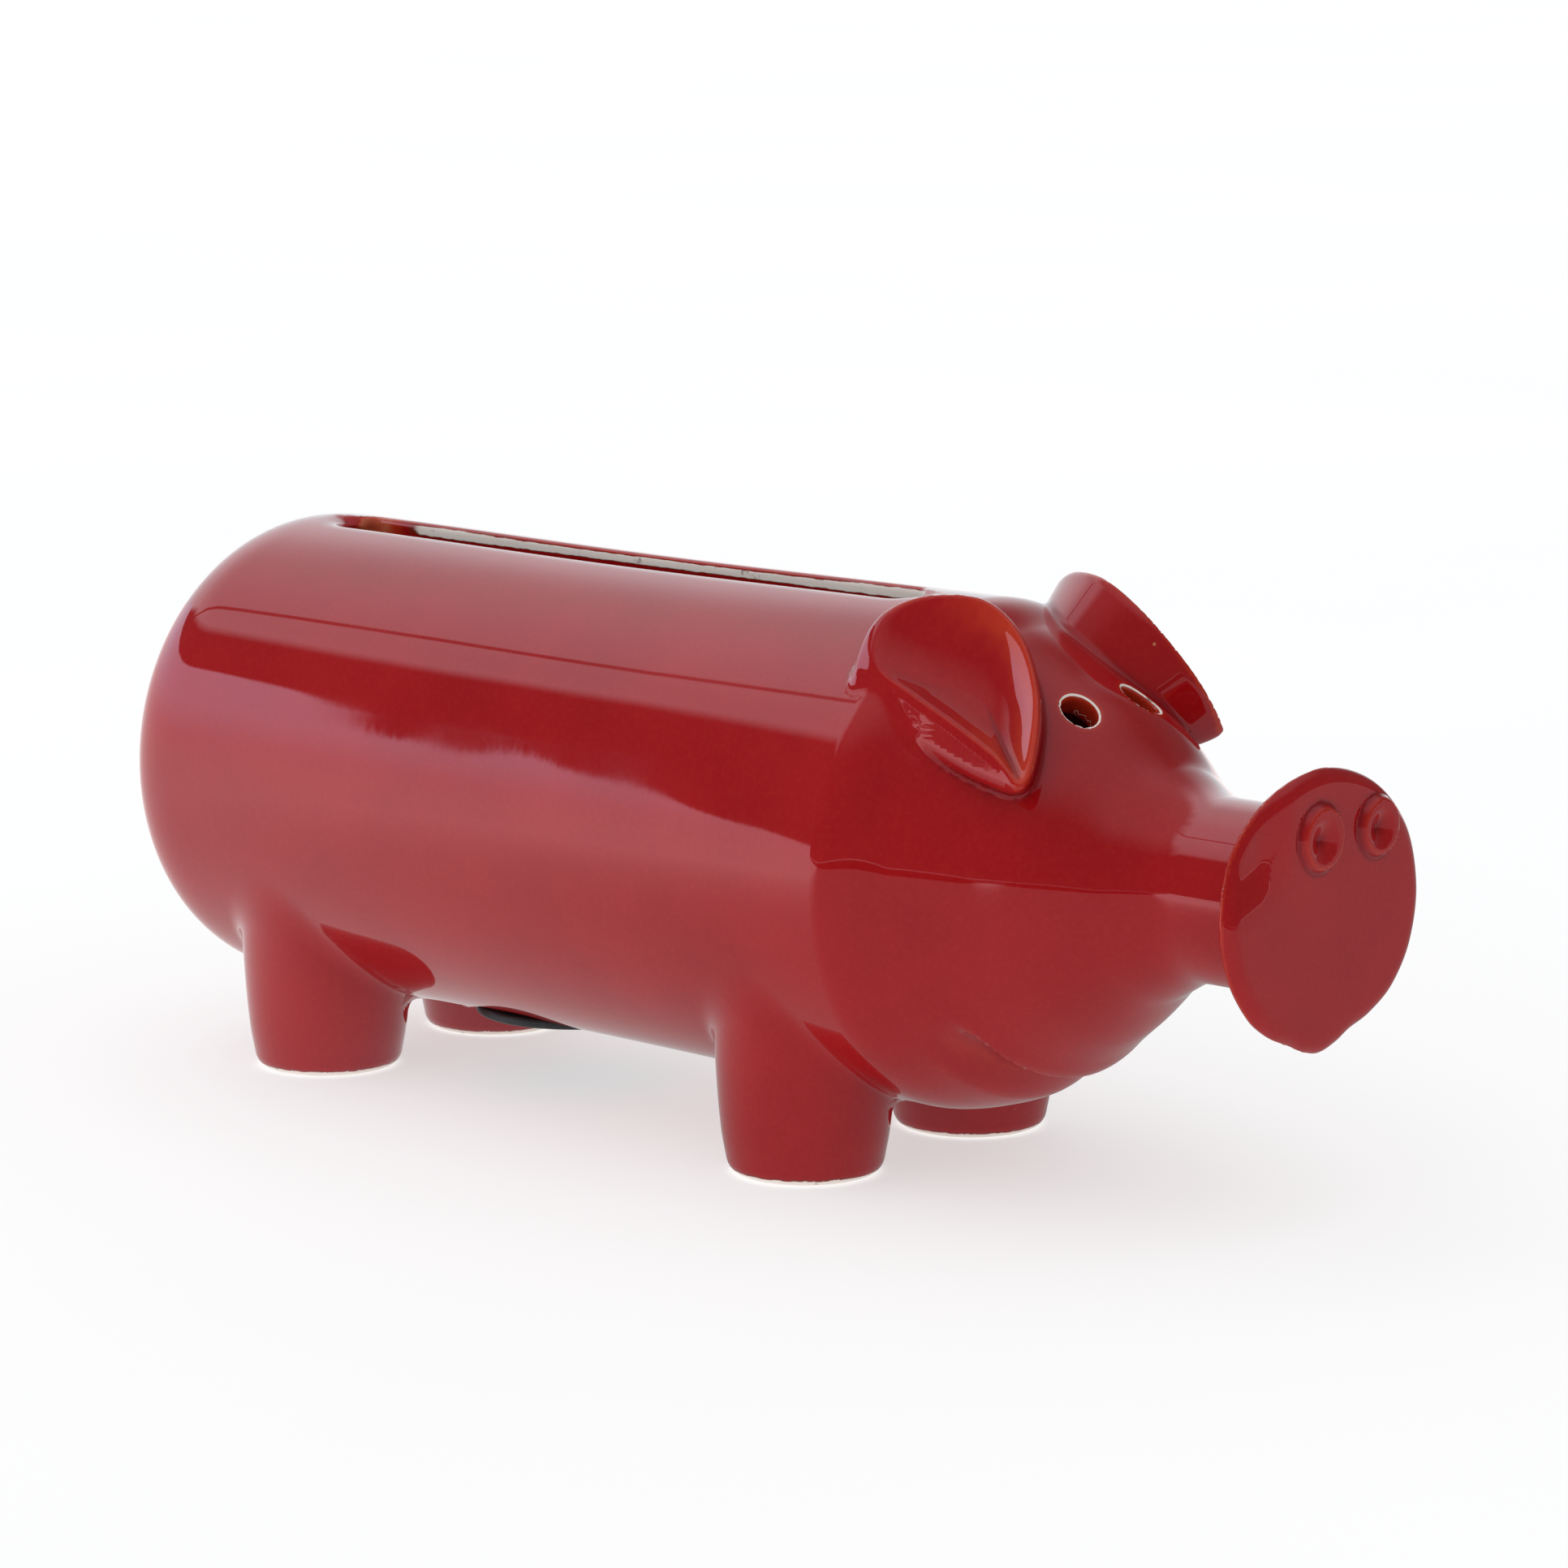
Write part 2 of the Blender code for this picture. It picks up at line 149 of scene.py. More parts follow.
# Ears: rim outline in the ear's own plane, pointed tip at -X, lower edge at -Y
EAR_CENTRE = Vector((0.0209, REAR_Y - 0.1633, 0.0748))
EAR_FACES = Vector((0.776, -0.300, 0.555)).normalized()
EAR_RUNS = Vector((-0.124, 0.790, 0.601)).normalized()
EAR_OUTLINE = (
    (-0.0197, -0.0018),
    (-0.0140, -0.0061),
    (-0.0050, -0.0098),
    (0.0040, -0.0124),
    (0.0102, -0.0132),
    (0.0152, -0.0095),
    (0.0178, -0.0032),
    (0.0152, 0.0040),
    (0.0092, 0.0102),
    (0.0010, 0.0115),
    (-0.0080, 0.0088),
    (-0.0152, 0.0041),
)
EAR_RIDGE = (
    (-0.0190, -0.0012),
    (-0.0130, -0.0019),
    (-0.0050, -0.0038),
    (0.0038, -0.0063),
    (0.0092, -0.0076),
    (0.0130, -0.0063),
    (0.0156, -0.0022),
    (0.0145, 0.0037),
    (0.0088, 0.0095),
    (0.0010, 0.0107),
    (-0.0078, 0.0081),
    (-0.0148, 0.0034),
)
EAR_CUP = (-0.0020, 0.0016)
EAR_CUP_DEPTH = 0.0031
EAR_CUP_POWER = 2.4
EAR_EDGE_ROUNDING = 0.0016
EAR_RIM_ROUNDING = 0.0008
EAR_OUTER_SLOPE = 0.62
LEFT_EAR_TUCK = 30.0
EAR_TIP_DEPTH = 0.0050
EAR_ROOT_DEPTH = 0.016
EAR_ROOT_SCALE = 0.66
EAR_BLEND = 0.0013

# Tail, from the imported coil's box
TAIL_LOW, TAIL_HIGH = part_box("tail")
TAIL_ROPE_R = (TAIL_HIGH.y - TAIL_LOW.y) / 2
TAIL_OUTER_R = 0.0088
TAIL_PITCH = 0.0052
TAIL_TURNS = 1.15
TAIL_START = math.radians(-70)
TAIL_TAPER = 0.3
TAIL_SPOTS = 70
TAIL_Z = 0.0545
TAIL_BLEND = 0.0012

# Meshing
COARSE = 0.0020
PROBE = 0.00003
BEND_PROBE = 0.0004
EVEN_OUT_ROUNDS = 4
SEAM_SUNK = 0.0006

# Pieces of the ceramic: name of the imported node, and the piece that each was joined to
BODY, DISC, TAIL = "body_shell", "snout_disc", "tail"
EARS = {"ear_right": -1, "ear_left": 1}
LEGS = ("leg_rear_right", "leg_rear_left", "leg_front_right", "leg_front_left")
NOSTRILS = ("nostril_right", "nostril_left")
CERAMIC = (BODY, *LEGS, *EARS, DISC, *NOSTRILS, TAIL)
FINE_PIECES = (*EARS, DISC, *NOSTRILS, TAIL)
JOINED_TO = {name: DISC if name in NOSTRILS else BODY for name in CERAMIC if name != BODY}


def step(low, high, value):
    """0 below low, 1 above high, and smooth between."""
    t = np.clip((value - low) / (high - low), 0, 1)
    return t * t * (3 - 2 * t)


def joined(a, b, blend):
    """Union of two solids with a fillet."""
    share = np.clip(1 - np.abs(a - b) / blend, 0, 1)
    return np.minimum(a, b) - share * share * blend / 4


def common(a, b, blend):
    """Intersection of two solids with a rounded edge."""
    return -joined(-a, -b, blend)


def without(a, b, blend):
    """Solid a less solid b, with a rounded edge."""
    return -joined(-a, b, blend)


def along(p):
    return REAR_Y - p[:, 1]


# Tables of the bottle's sections


def smooth_between(stations, values, at):
    """Values on a smooth curve through the stations that never overshoots them."""
    stations = np.asarray(stations, float)
    values = np.asarray(values, float)
    width = np.diff(stations)
    slope = np.diff(values) / width
    tangent = np.zeros(len(values))
    for i in range(1, len(values) - 1):
        if slope[i - 1] * slope[i] > 0:
            before = 2 * width[i] + width[i - 1]
            after = width[i] + 2 * width[i - 1]
            tangent[i] = (before + after) / (before / slope[i - 1] + after / slope[i])
    i = np.clip(np.searchsorted(stations, at) - 1, 0, len(width) - 1)
    t = np.clip((at - stations[i]) / width[i], 0, 1)
    cubic = 2 * t**3 - 3 * t**2
    run = width[i]
    return (
        (1 + cubic) * values[i]
        - cubic * values[i + 1]
        + (t**3 - 2 * t**2 + t) * run * tangent[i]
        + (t**3 - t**2) * run * tangent[i + 1]
    )


TABLE_AT = np.linspace(-0.01, 0.23, 24001)
HEAD_AT = np.linspace(SHOULDER, NECK, len(HEAD_RADII))
RADII = smooth_between(HEAD_AT, HEAD_RADII, TABLE_AT)
MIDDLE = np.clip((TABLE_AT - DOME_LENGTH) / (SHOULDER - DOME_LENGTH), 0, 1)
RADII = RADII - WAIST_DEPTH * np.sin(np.pi * MIDDLE) ** 2
SLOPES = np.gradient(RADII, TABLE_AT)
RISES = smooth_between(HEAD_AT, HEAD_RISES, TABLE_AT)
OVALS = smooth_between(HEAD_AT, HEAD_OVALS, TABLE_AT)


def bottle(p, lift=0.0):
    """Distance to the bottle's skin."""
    at = along(p)
    height = p[:, 2] - AXIS_Z - np.interp(at, TABLE_AT, RISES) - lift
    r = np.hypot(p[:, 0] / np.interp(at, TABLE_AT, OVALS), height)
    slope = np.interp(at, TABLE_AT, SLOPES)
    side = (r - np.interp(at, TABLE_AT, RADII)) / np.sqrt(1 + slope * slope)
    depth = np.clip((DOME_LENGTH - at) / DOME_LENGTH, 0, None)
    ratio = r / BARREL_R + 1e-6
    size = (ratio**DOME_POWER + depth**DOME_POWER) ** (1 / DOME_POWER)
    across = (ratio / size) ** (DOME_POWER - 1)
    back = (depth / size) ** (DOME_POWER - 1) * BARREL_R / DOME_LENGTH
    dome = BARREL_R * (size - 1) / np.hypot(across, back)
    return np.where(at < DOME_LENGTH, dome, side)


def cavity(p):
    """Distance to the hollow, which is set a little high and ends short of the disc."""
    at = along(p)
    lift = FLOOR_EXTRA * np.clip((NECK - at) / (NECK - SHOULDER), 0, 1)
    return common(bottle(p, lift) + WALL, at - NECK_END + CAVITY_ENDS_SHORT, CAVITY_CORNER)


def past_lip(p):
    """How far behind the upper lip each point is, and its share of the smile's half width."""
    at = along(p)
    down = AXIS_Z + np.interp(at, TABLE_AT, RISES) - p[:, 2]
    turn = np.abs(np.arctan2(p[:, 0] / np.interp(at, TABLE_AT, OVALS), down)) / MOUTH_HALF_ANGLE
    return MOUTH_AT - MOUTH_RISE * turn**2 - at, turn


def mouth(p):
    """Depth of the fold under the snout: a crisp upper lip and a jaw that comes back to the skin."""
    behind, turn = past_lip(p)
    soft = 0.0004 + 0.0009 * turn**2
    edge = step(-soft, soft, behind)
    back = 1 - step(0.0005, MOUTH_REACH, behind)
    lip = 0.0003 * np.exp(-(((behind + 0.0014) / 0.0016) ** 2))
    return (MOUTH_DEPTH * edge * back - lip) * (1 - step(0.60, 1.05, turn))


def slot(p):
    middle = REAR_Y - (SLOT_START + SLOT_END) / 2
    half = (SLOT_END - SLOT_START) / 2 - SLOT_HALF
    past = np.maximum(np.abs(p[:, 1] - middle) - half, 0)
    return np.maximum(np.hypot(p[:, 0], past) - SLOT_HALF, AXIS_Z - p[:, 2])


def eye(p, sign):
    looks = np.array((sign * EYE_LOOKS[0], EYE_LOOKS[1], EYE_LOOKS[2]))
    looks /= np.linalg.norm(looks)
    rel = p - np.array((sign * EYE_X, REAR_Y - EYE_AT, EYE_Z))
    level = np.cross(looks, (0, 0, 1))
    level /= np.linalg.norm(level)
    wide = LEFT_EYE_WIDTH if sign > 0 else 1.0
    return np.hypot(rel @ level / wide, rel @ np.cross(level, looks) / EYE_TALLNESS) - EYE_R, rel @ looks


def leg(p, middle):
    """A tapered leg standing on the floor, its foot's edge rounded."""
    forward = NEAR_LEGS_FORWARD * (middle.x < 0)
    r = np.hypot(p[:, 0] - middle.x, p[:, 1] - middle.y + forward)
    side = r - smooth_between(LEG_STATIONS, LEG_RADII, np.clip(p[:, 2], 0, LEG_STATIONS[-1]))
    upright = np.maximum(side, p[:, 2] - LEG_STATIONS[-1])
    return common(upright, -p[:, 2], FOOT_ROUNDING)


class Outline:
    """A closed smooth outline, held as its reach from a centre in each direction."""

    def __init__(self, corners, centre=(0.0, 0.0)):
        points = []
        for i in range(len(corners)):
            a, b, c, d = (np.array(corners[(i + k) % len(corners)]) for k in (-1, 0, 1, 2))
            bend = 2 * a - 5 * b + 4 * c - d
            twist = 3 * b - a - 3 * c + d
            points += [b + 0.5 * ((c - a) * t + bend * t**2 + twist * t**3) for t in np.arange(0, 1, 0.02)]
        points = np.array(points) - np.array(centre)
        turn = np.arctan2(points[:, 1], points[:, 0])
        order = np.argsort(turn)
        self.centre = centre
        self.turns = np.linspace(-np.pi, np.pi, 4097)
        reach = np.hypot(*points.T)[order]
        self.reach = np.interp(self.turns, turn[order], reach, period=2 * np.pi)
        soft = np.exp(-np.linspace(-2, 2, 31) ** 2)
        wrapped = np.concatenate([self.reach[-16:-1], self.reach, self.reach[1:16]])
        self.reach = np.convolve(wrapped, soft / soft.sum(), "valid")
        self.change = np.gradient(self.reach, self.turns)

    def share(self, x, y):
        """Share of the way from the centre to the outline, and the outline's reach and slope there."""
        x, y = x - self.centre[0], y - self.centre[1]
        turn = np.arctan2(y, x)
        reach = np.interp(turn, self.turns, self.reach)
        change = np.interp(turn, self.turns, self.change)
        return np.hypot(x, y) / reach, reach, change

    def distance(self, x, y):
        share, reach, change = self.share(x, y)
        return (share - 1) * reach / np.sqrt(1 + (change / reach) ** 2)


DISC_SHAPE = Outline(DISC_OUTLINE)
EAR_SHAPE = Outline(EAR_OUTLINE)
EAR_RIDGE_SHAPE = Outline(EAR_RIDGE, EAR_CUP)


def ear_place(p, sign):
    """Coordinates in an ear's own frame: along, across and out of its rim's plane."""
    flip = np.array((sign, 1, 1))
    faces = np.array(EAR_FACES) * flip
    runs = np.array(EAR_RUNS) * flip
    across = np.cross(runs, faces) * -sign
    rel = p - np.array(EAR_CENTRE) * flip
    return rel @ runs, rel @ across, rel @ faces


def dish_level(share):
    """Height of an ear's dish against its rim, at a share of the way from the cup's middle to the ridge."""
    return -EAR_CUP_DEPTH * (1 - np.clip(share, 0, 1.3) ** EAR_CUP_POWER)


def ear(p, sign):
    """A cupped leaf: its rim is a ridge, from which the outer side slopes back to the root in the head."""
    x, y, out = ear_place(p, sign)
    x = x - LEFT_EAR_TUCK * np.minimum(x + 0.007, 0) ** 2 * (sign > 0)
    scale = 1 + (EAR_ROOT_SCALE - 1) * np.clip(-out / EAR_ROOT_DEPTH, -0.1, 1)
    side = EAR_SHAPE.distance(x / scale, y / scale) * scale
    past = EAR_RIDGE_SHAPE.distance(x, y)
    brow = (out + EAR_OUTER_SLOPE * past) / math.hypot(1, EAR_OUTER_SLOPE)
    rim = common(common(side, brow, EAR_EDGE_ROUNDING), out, EAR_RIM_ROUNDING)
    share = EAR_RIDGE_SHAPE.share(x, y)[0]
    depth = EAR_TIP_DEPTH + (EAR_ROOT_DEPTH - EAR_TIP_DEPTH) * step(-0.0200, -0.0050, x)
    return common(without(rim, dish_level(share) - out, EAR_RIM_ROUNDING), (-out - depth) * 0.7, 0.0020)


def pellet(p, name):
    """How far a nostril's pellet stands out of the disc: a raised ring round an off-centre dimple."""
    low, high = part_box(name)
    r = (high.x - low.x) / 2
    across = (p[:, 0] - (low.x + high.x) / 2) / r
    up = (p[:, 2] - (low.z + high.z) / 2) / r
    share = np.hypot(across, up)
    ring = step(1.06, 0.84, share)
    dimple = np.clip(1 - np.hypot(across + 0.05, up + 0.06) / 0.68, 0, None)
    dimple = dimple * dimple / (dimple + 0.12) * 1.12
    return NOSTRIL_RISE * ring - (NOSTRIL_RISE + NOSTRIL_DIMPLE) * dimple


def disc(p):
    """The flat snout, its face leaning back a little at the upper right, with the nostrils pressed on."""
    middle = (DISC_LOW.y + DISC_HIGH.y) / 2
    side = DISC_SHAPE.distance(p[:, 0], p[:, 2] - AXIS_Z)
    above = p[:, 2] - AXIS_Z - 0.4 * np.clip(p[:, 0] + 0.0200, 0, None)
    sunk = DISC_LEAN * step(-0.0015, 0.0085, above) * (1 - step(-0.0150, -0.0070, p[:, 0]))
    rise = sum(pellet(p, name) for name in NOSTRILS)
    half = (DISC_HIGH.y - DISC_LOW.y) / 2
    front = middle - p[:, 1] - half - (rise - sunk)
    return common(side, np.maximum(front * 0.85, p[:, 1] - middle - half), DISC_EDGE_ROUNDING)


def tail(p):
    """Distance to the rope of the coiled tail, pressed a little into the dome."""
    share = np.linspace(0, 1, TAIL_SPOTS)
    turn = TAIL_START + share * TAIL_TURNS * 2 * np.pi
    reach = TAIL_OUTER_R - TAIL_PITCH * TAIL_TURNS * share
    radius = TAIL_ROPE_R * (1 - TAIL_TAPER * share)
    best = np.full(len(p), 1.0)
    level = TAIL_HIGH.y - TAIL_ROPE_R
    for k in range(TAIL_SPOTS):
        spot = np.array((reach[k] * np.cos(turn[k]), level, TAIL_Z + reach[k] * np.sin(turn[k])))
        best = np.minimum(best, np.linalg.norm(p - spot, axis=1) - radius[k])
    return best


LEG_MIDDLES = {name: (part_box(name)[0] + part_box(name)[1]) / 2 for name in LEGS}
NEAR = {name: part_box(name) for name in CERAMIC}


def close_to(p, name, margin=0.004):
    """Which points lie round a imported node."""
    low, high = NEAR[name]
    return np.all((p > np.array(low) - margin) & (p < np.array(high) + margin), axis=1)


SHAPES = {
    **{name: (lambda p, m=LEG_MIDDLES[name]: leg(p, m), LEG_BLEND, 0.008) for name in LEGS},
    **{name: (lambda p, s=sign: ear(p, s), EAR_BLEND, 0.006) for name, sign in EARS.items()},
    DISC: (disc, DISC_BLEND, 0.004),
    TAIL: (tail, TAIL_BLEND, 0.003),
}


def thrown(p):
    """Distance to the bottle with its smile, cut off inside the disc."""
    return np.maximum(bottle(p) + mouth(p), along(p) - NECK_END - NECK_IN_DISC)


def ceramic(p):
    """Distance to the whole ceramic bank."""
    d = thrown(p)
    for name, (shape, blend, margin) in SHAPES.items():
        near = close_to(p, name, margin)
        if near.any():
            d[near] = joined(d[near], shape(p[near]), blend)
    d = np.maximum(d, -cavity(p))
    far = step(-LIPS_MEET, LIPS_MEET, p[:, 0])
    d = without(d, slot(p), NEAR_LIP_ROUNDING + (FAR_LIP_ROUNDING - NEAR_LIP_ROUNDING) * far)
    for sign in (-1, 1):
        hole, out = eye(p, sign)
        d = np.where(np.abs(out) < EYE_HOLE_REACH, without(d, hole, EYE_ROUNDING), d)
    r = np.hypot(p[:, 0], p[:, 1] - STOPPER_Y)
    seat = np.maximum(r - SEAT_R, p[:, 2] - SEAT_Z)
    hole = np.maximum(r - HOLE_R, p[:, 2] - AXIS_Z)
    return without(without(d, seat, SEAT_ROUNDING), hole, HOLE_ROUNDING)


def owner(p):
    """Index in CERAMIC of the piece that each point of the surface belongs to."""
    skin = thrown(p)
    owners = np.zeros(len(p), int)
    nearest = np.where(skin > -WALL / 2, skin, -1.0)
    for index, name in enumerate(CERAMIC):
        if name in NOSTRILS or name in (BODY, TAIL):
            continue
        near = np.flatnonzero(close_to(p, name, SHAPES[name][2]))
        d = SHAPES[name][0](p[near])
        won = near[d < nearest[near]]
        owners[won] = index
        nearest[near] = np.minimum(nearest[near], d)
    for name in NOSTRILS:
        low, high = NEAR[name]
        reach = np.hypot(p[:, 0] - (low.x + high.x) / 2, p[:, 2] - (low.z + high.z) / 2)
        owners[(reach < (high.x - low.x) / 2 * 1.05) & (p[:, 1] < DISC_LOW.y + 0.0006)] = CERAMIC.index(name)
    coil = np.hypot(p[:, 0], p[:, 2] - TAIL_Z) < TAIL_OUTER_R + TAIL_ROPE_R + 0.0012
    owners[coil & (along(p) < 0.002)] = CERAMIC.index(TAIL)
    return owners


# Meshing


def graded(low, high, coarse, zones):
    """Grid lines from low to high, a coarse step apart, or the step of the zone they are in."""
    lines = [low]
    while lines[-1] < high:
        here = lines[-1]
        fine = [zone[2] for zone in zones if zone[0] <= here + 1e-9 < zone[1]]
        lines.append(here + min(fine, default=coarse))
    return np.array(lines)


def grid_lines():
    """Lines of the meshing grid along each axis, with zones as (from, to, step)."""
    middle = [(-0.0118, 0.0118, 0.0006)]
    ears = [(-0.0345, -0.0118, 0.0010), (0.0118, 0.0345, 0.0010)]
    xs = graded(-0.0395, 0.0395, COARSE, middle + ears)
    disc_and_eyes = [(-0.1110, -0.1015, 0.0006), (-0.0780, -0.0565, 0.0006)]
    ears_slot_end_and_tail = [(-0.0565, -0.0300, 0.0008), (0.0780, 0.0860, 0.0008), (0.0965, 0.1110, 0.0007)]
    ys = graded(-0.1110, 0.1110, COARSE, disc_and_eyes + ears_slot_end_and_tail)
    feet_and_belly = [(-0.0013, 0.0030, 0.0006), (0.0100, 0.0280, 0.0009)]
    tail_and_back = [(0.0480, 0.0660, 0.0010), (0.0660, 0.0880, 0.0006)]
    zs = graded(-0.0013, 0.0880, COARSE, feet_and_belly + tail_and_back)
    return xs, ys, zs


def sampled(lines):
    """The ceramic's distance at every crossing of the grid lines."""
    xs, ys, zs = lines
    values = np.empty((len(xs), len(ys), len(zs)))
    for start in range(0, len(ys), 12):
        part = ys[start : start + 12]
        points = np.stack(np.meshgrid(xs, part, zs, indexing="ij"), -1).reshape(-1, 3)
        values[:, start : start + len(part)] = ceramic(points).reshape(len(xs), len(part), len(zs))
    return values


def netted(values, lines):
    """One point in each grid cell that the surface passes through, and the quads between them."""
    inside = values < 0
    cells = np.zeros(tuple(n - 1 for n in values.shape), int)
    for corner in np.ndindex(2, 2, 2):
        cells += inside[tuple(slice(c, c + n) for c, n in zip(corner, cells.shape))]
    used = (cells > 0) & (cells < 8)
    index = np.full(cells.shape, -1)
    index[used] = np.arange(used.sum())
    total = np.zeros((used.sum(), 3))
    count = np.zeros(used.sum())
    quads = []
    for axis in range(3):
        first = [slice(None)] * 3
        second = [slice(None)] * 3
        first[axis] = slice(0, -1)
        second[axis] = slice(1, None)
        a, b = values[tuple(first)], values[tuple(second)]
        spots = np.argwhere((a < 0) != (b < 0))
        one, two = (axis + 1) % 3, (axis + 2) % 3
        limits = np.array(cells.shape)
        spots = spots[(spots[:, one] > 0) & (spots[:, two] > 0)]
        spots = spots[(spots[:, one] < limits[one]) & (spots[:, two] < limits[two])]
        va, vb = a[tuple(spots.T)], b[tuple(spots.T)]
        place = np.stack([lines[k][spots[:, k]] for k in range(3)], 1)
        share = va / (va - vb)
        place[:, axis] += share * (lines[axis][spots[:, axis] + 1] - lines[axis][spots[:, axis]])
        ring = []
        for back_one, back_two in ((1, 1), (0, 1), (0, 0), (1, 0)):
            cell = spots.copy()
            cell[:, one] -= back_one
            cell[:, two] -= back_two
            ids = index[tuple(cell.T)]
            ring.append(ids)
            for k in range(3):
                total[:, k] += np.bincount(ids, place[:, k], len(total))
            count += np.bincount(ids, minlength=len(count))
        ring = np.stack(ring, 1)
        ring[va > 0] = ring[va > 0][:, ::-1]
        quads.append(ring)
    return total / count[:, None], np.concatenate(quads)


def gradient(p, size=PROBE):
    slopes = []
    for axis in range(3):
        offset = np.zeros(3)
        offset[axis] = size
        slopes.append((ceramic(p + offset) - ceramic(p - offset)) / (2 * size))
    return np.stack(slopes, 1)


def onto_surface(p, rounds=3):
    for _ in range(rounds):
        g = gradient(p)
        move = ceramic(p)[:, None] * g / np.maximum((g * g).sum(1), 0.05)[:, None]
        length = np.linalg.norm(move, axis=1)
        p = p - move * np.minimum(1, 0.0006 / np.maximum(length, 1e-12))[:, None]
    return p


def unit(v):
    return v / np.maximum(np.linalg.norm(v, axis=1), 1e-12)[:, None]


def neighbour_sum(values, ends):
    """For each point, the sum of the values at its neighbours."""
    ahead = np.bincount(ends[:, 0], values[ends[:, 1]], len(values))
    behind = np.bincount(ends[:, 1], values[ends[:, 0]], len(values))
    return ahead + behind


def evened_out(p, quads):
    """Slides points along the surface towards the middle of their neighbours, for even faces."""
    ends = np.concatenate([quads[:, [k, (k + 1) % 4]] for k in range(4)])
    degree = neighbour_sum(np.ones(len(p)), ends)
    for _ in range(EVEN_OUT_ROUNDS):
        middle = np.stack([neighbour_sum(p[:, k], ends) for k in range(3)], 1)
        normal = unit(gradient(p))
        slide = middle / degree[:, None] - p
        slide -= (slide * normal).sum(1)[:, None] * normal
        p = onto_surface(p + 0.5 * slide, 1)
    return onto_surface(p, 2)


def bend(p):
    """Curvature of the surface, per metre: positive on edges, negative in hollows."""
    total = np.zeros(len(p))
    for axis in range(3):
        offset = np.zeros(3)
        offset[axis] = BEND_PROBE
        ahead = unit(gradient(p + offset))[:, axis]
        behind = unit(gradient(p - offset))[:, axis]
        total += (ahead - behind) / (2 * BEND_PROBE)
    return total


def ear_wear(p, sign):
    """How thin the glaze is in an ear's dish and on its rim, 0 to 1."""
    x, y, out = ear_place(p, sign)
    share = EAR_RIDGE_SHAPE.share(x, y)[0]
    off_middle = np.abs(p[:, 0]) > 0.006
    in_cup = (share < 1.0) & (np.abs(out - dish_level(share)) < 0.0007) & off_middle
    toward_front = step(-0.006, 0.009, y - 0.55 * x)
    dish = np.where(in_cup, 0.10 + 0.50 * step(0.35, 0.95, share) * toward_front, 0)
    on_rim = np.exp(-(((share - 1.01) / 0.035) ** 2)) * (np.abs(out) < 0.0012) * off_middle
    return np.maximum(dish, 0.55 * on_rim * step(-0.006, 0.002, y))


def slot_wear(p):
    """How thin the glaze is round the coin slot, and a painted highlight along its far wall in the colour of
    unglazed clay, 0 to 1.
    """
    depth = -bottle(p)
    past_edge = slot(p)
    past_end = along(p) - SLOT_START
    far_lip = np.exp(-(((past_edge - 0.0040) / 0.0016) ** 2)) * (p[:, 0] > 0) * step(-0.0030, -0.0012, -depth)
    rear_end = (1 - step(0.004, 0.010, past_end)) * (past_edge < 0.0008) * (p[:, 2] > AXIS_Z + 0.02)
    # Painted highlight: a cream band high up the slot's far wall, starting a little past its rear end, shown in
    # the colour of unglazed clay.
    painted_slot_highlight = step(0.0003, 0.0007, depth) * (1 - step(0.0016, 0.0020, depth))
    painted_slot_highlight *= (p[:, 0] > 0.0004) * (np.abs(past_edge) < 0.0006) * step(0.006, 0.014, past_end)
    return np.maximum(0.55 * far_lip, 0.8 * rear_end), 0.9 * painted_slot_highlight


def eye_edge(p):
    """Distance past the edge of the nearest eye hole, and how thin the glaze is round it."""
    to_eye = np.full(len(p), 0.005)
    thin = np.zeros(len(p))
    for sign in (-1, 1):
        hole, out = eye(p, sign)
        past_edge = np.where(np.abs(out) < 0.006, hole + np.minimum(bottle(p), 0), 0.005)
        to_eye = np.where(np.abs(past_edge) < np.abs(to_eye), past_edge, to_eye)
        thin = np.maximum(thin, 0.6 * np.exp(-((np.maximum(hole, 0) / 0.0009) ** 2)) * (np.abs(out) < 0.004))
    return to_eye, thin


def glaze_marks(p):
    """How thin the glaze is, how much of the body is unglazed and how far the glaze has pooled, each 0 to 1.
    The thin mark also holds a painted highlight on the jaw, the unglazed mark a painted highlight along the
    coin slot's far wall, and the pooled mark partly painted shade in hollows and creases.

    The fourth mark is the distance past the edge of the nearest eye hole, in millimetres.
    """
    curve = bend(p)
    slot_thin, slot_highlight = slot_wear(p)
    to_eye, eye_thin = eye_edge(p)
    seam = np.exp(-(((p[:, 1] - DISC_HIGH.y) / 0.0007) ** 2)) * (p[:, 0] < 0.0) * (p[:, 2] > AXIS_Z)
    behind, turn = past_lip(p)
    # Painted highlight: a brighter orange-red band on the jaw, just behind the smile's fold, carried in the
    # thin mark.
    jaw = np.exp(-(((behind - 0.0032) / 0.0016) ** 2)) * step(0.1, 0.5, turn) * (1 - step(0.8, 1.05, turn))
    thin = 0.40 * step(300, 1500, curve)
    jaw_highlight = 0.30 * jaw * (bottle(p) > -WALL / 2)
    for wear in (*(ear_wear(p, sign) for sign in EARS.values()), eye_thin, slot_thin, 0.8 * seam, jaw_highlight):
        thin = np.maximum(thin, wear)
    # The unglazed mark: the real unglazed soles of the feet, and the painted highlight in the coin slot.
    bare_and_highlight = np.maximum(1 - step(BARE_FOOT * 0.5, BARE_FOOT * 1.3, p[:, 2]), slot_highlight)
    # Darker in hollows and creases: pooled glaze, and partly painted shade, as in the smile's crease.
    pool_and_shade = step(150, 800, -curve)
    return np.stack([thin, bare_and_highlight, pool_and_shade, to_eye * 1000], 1)


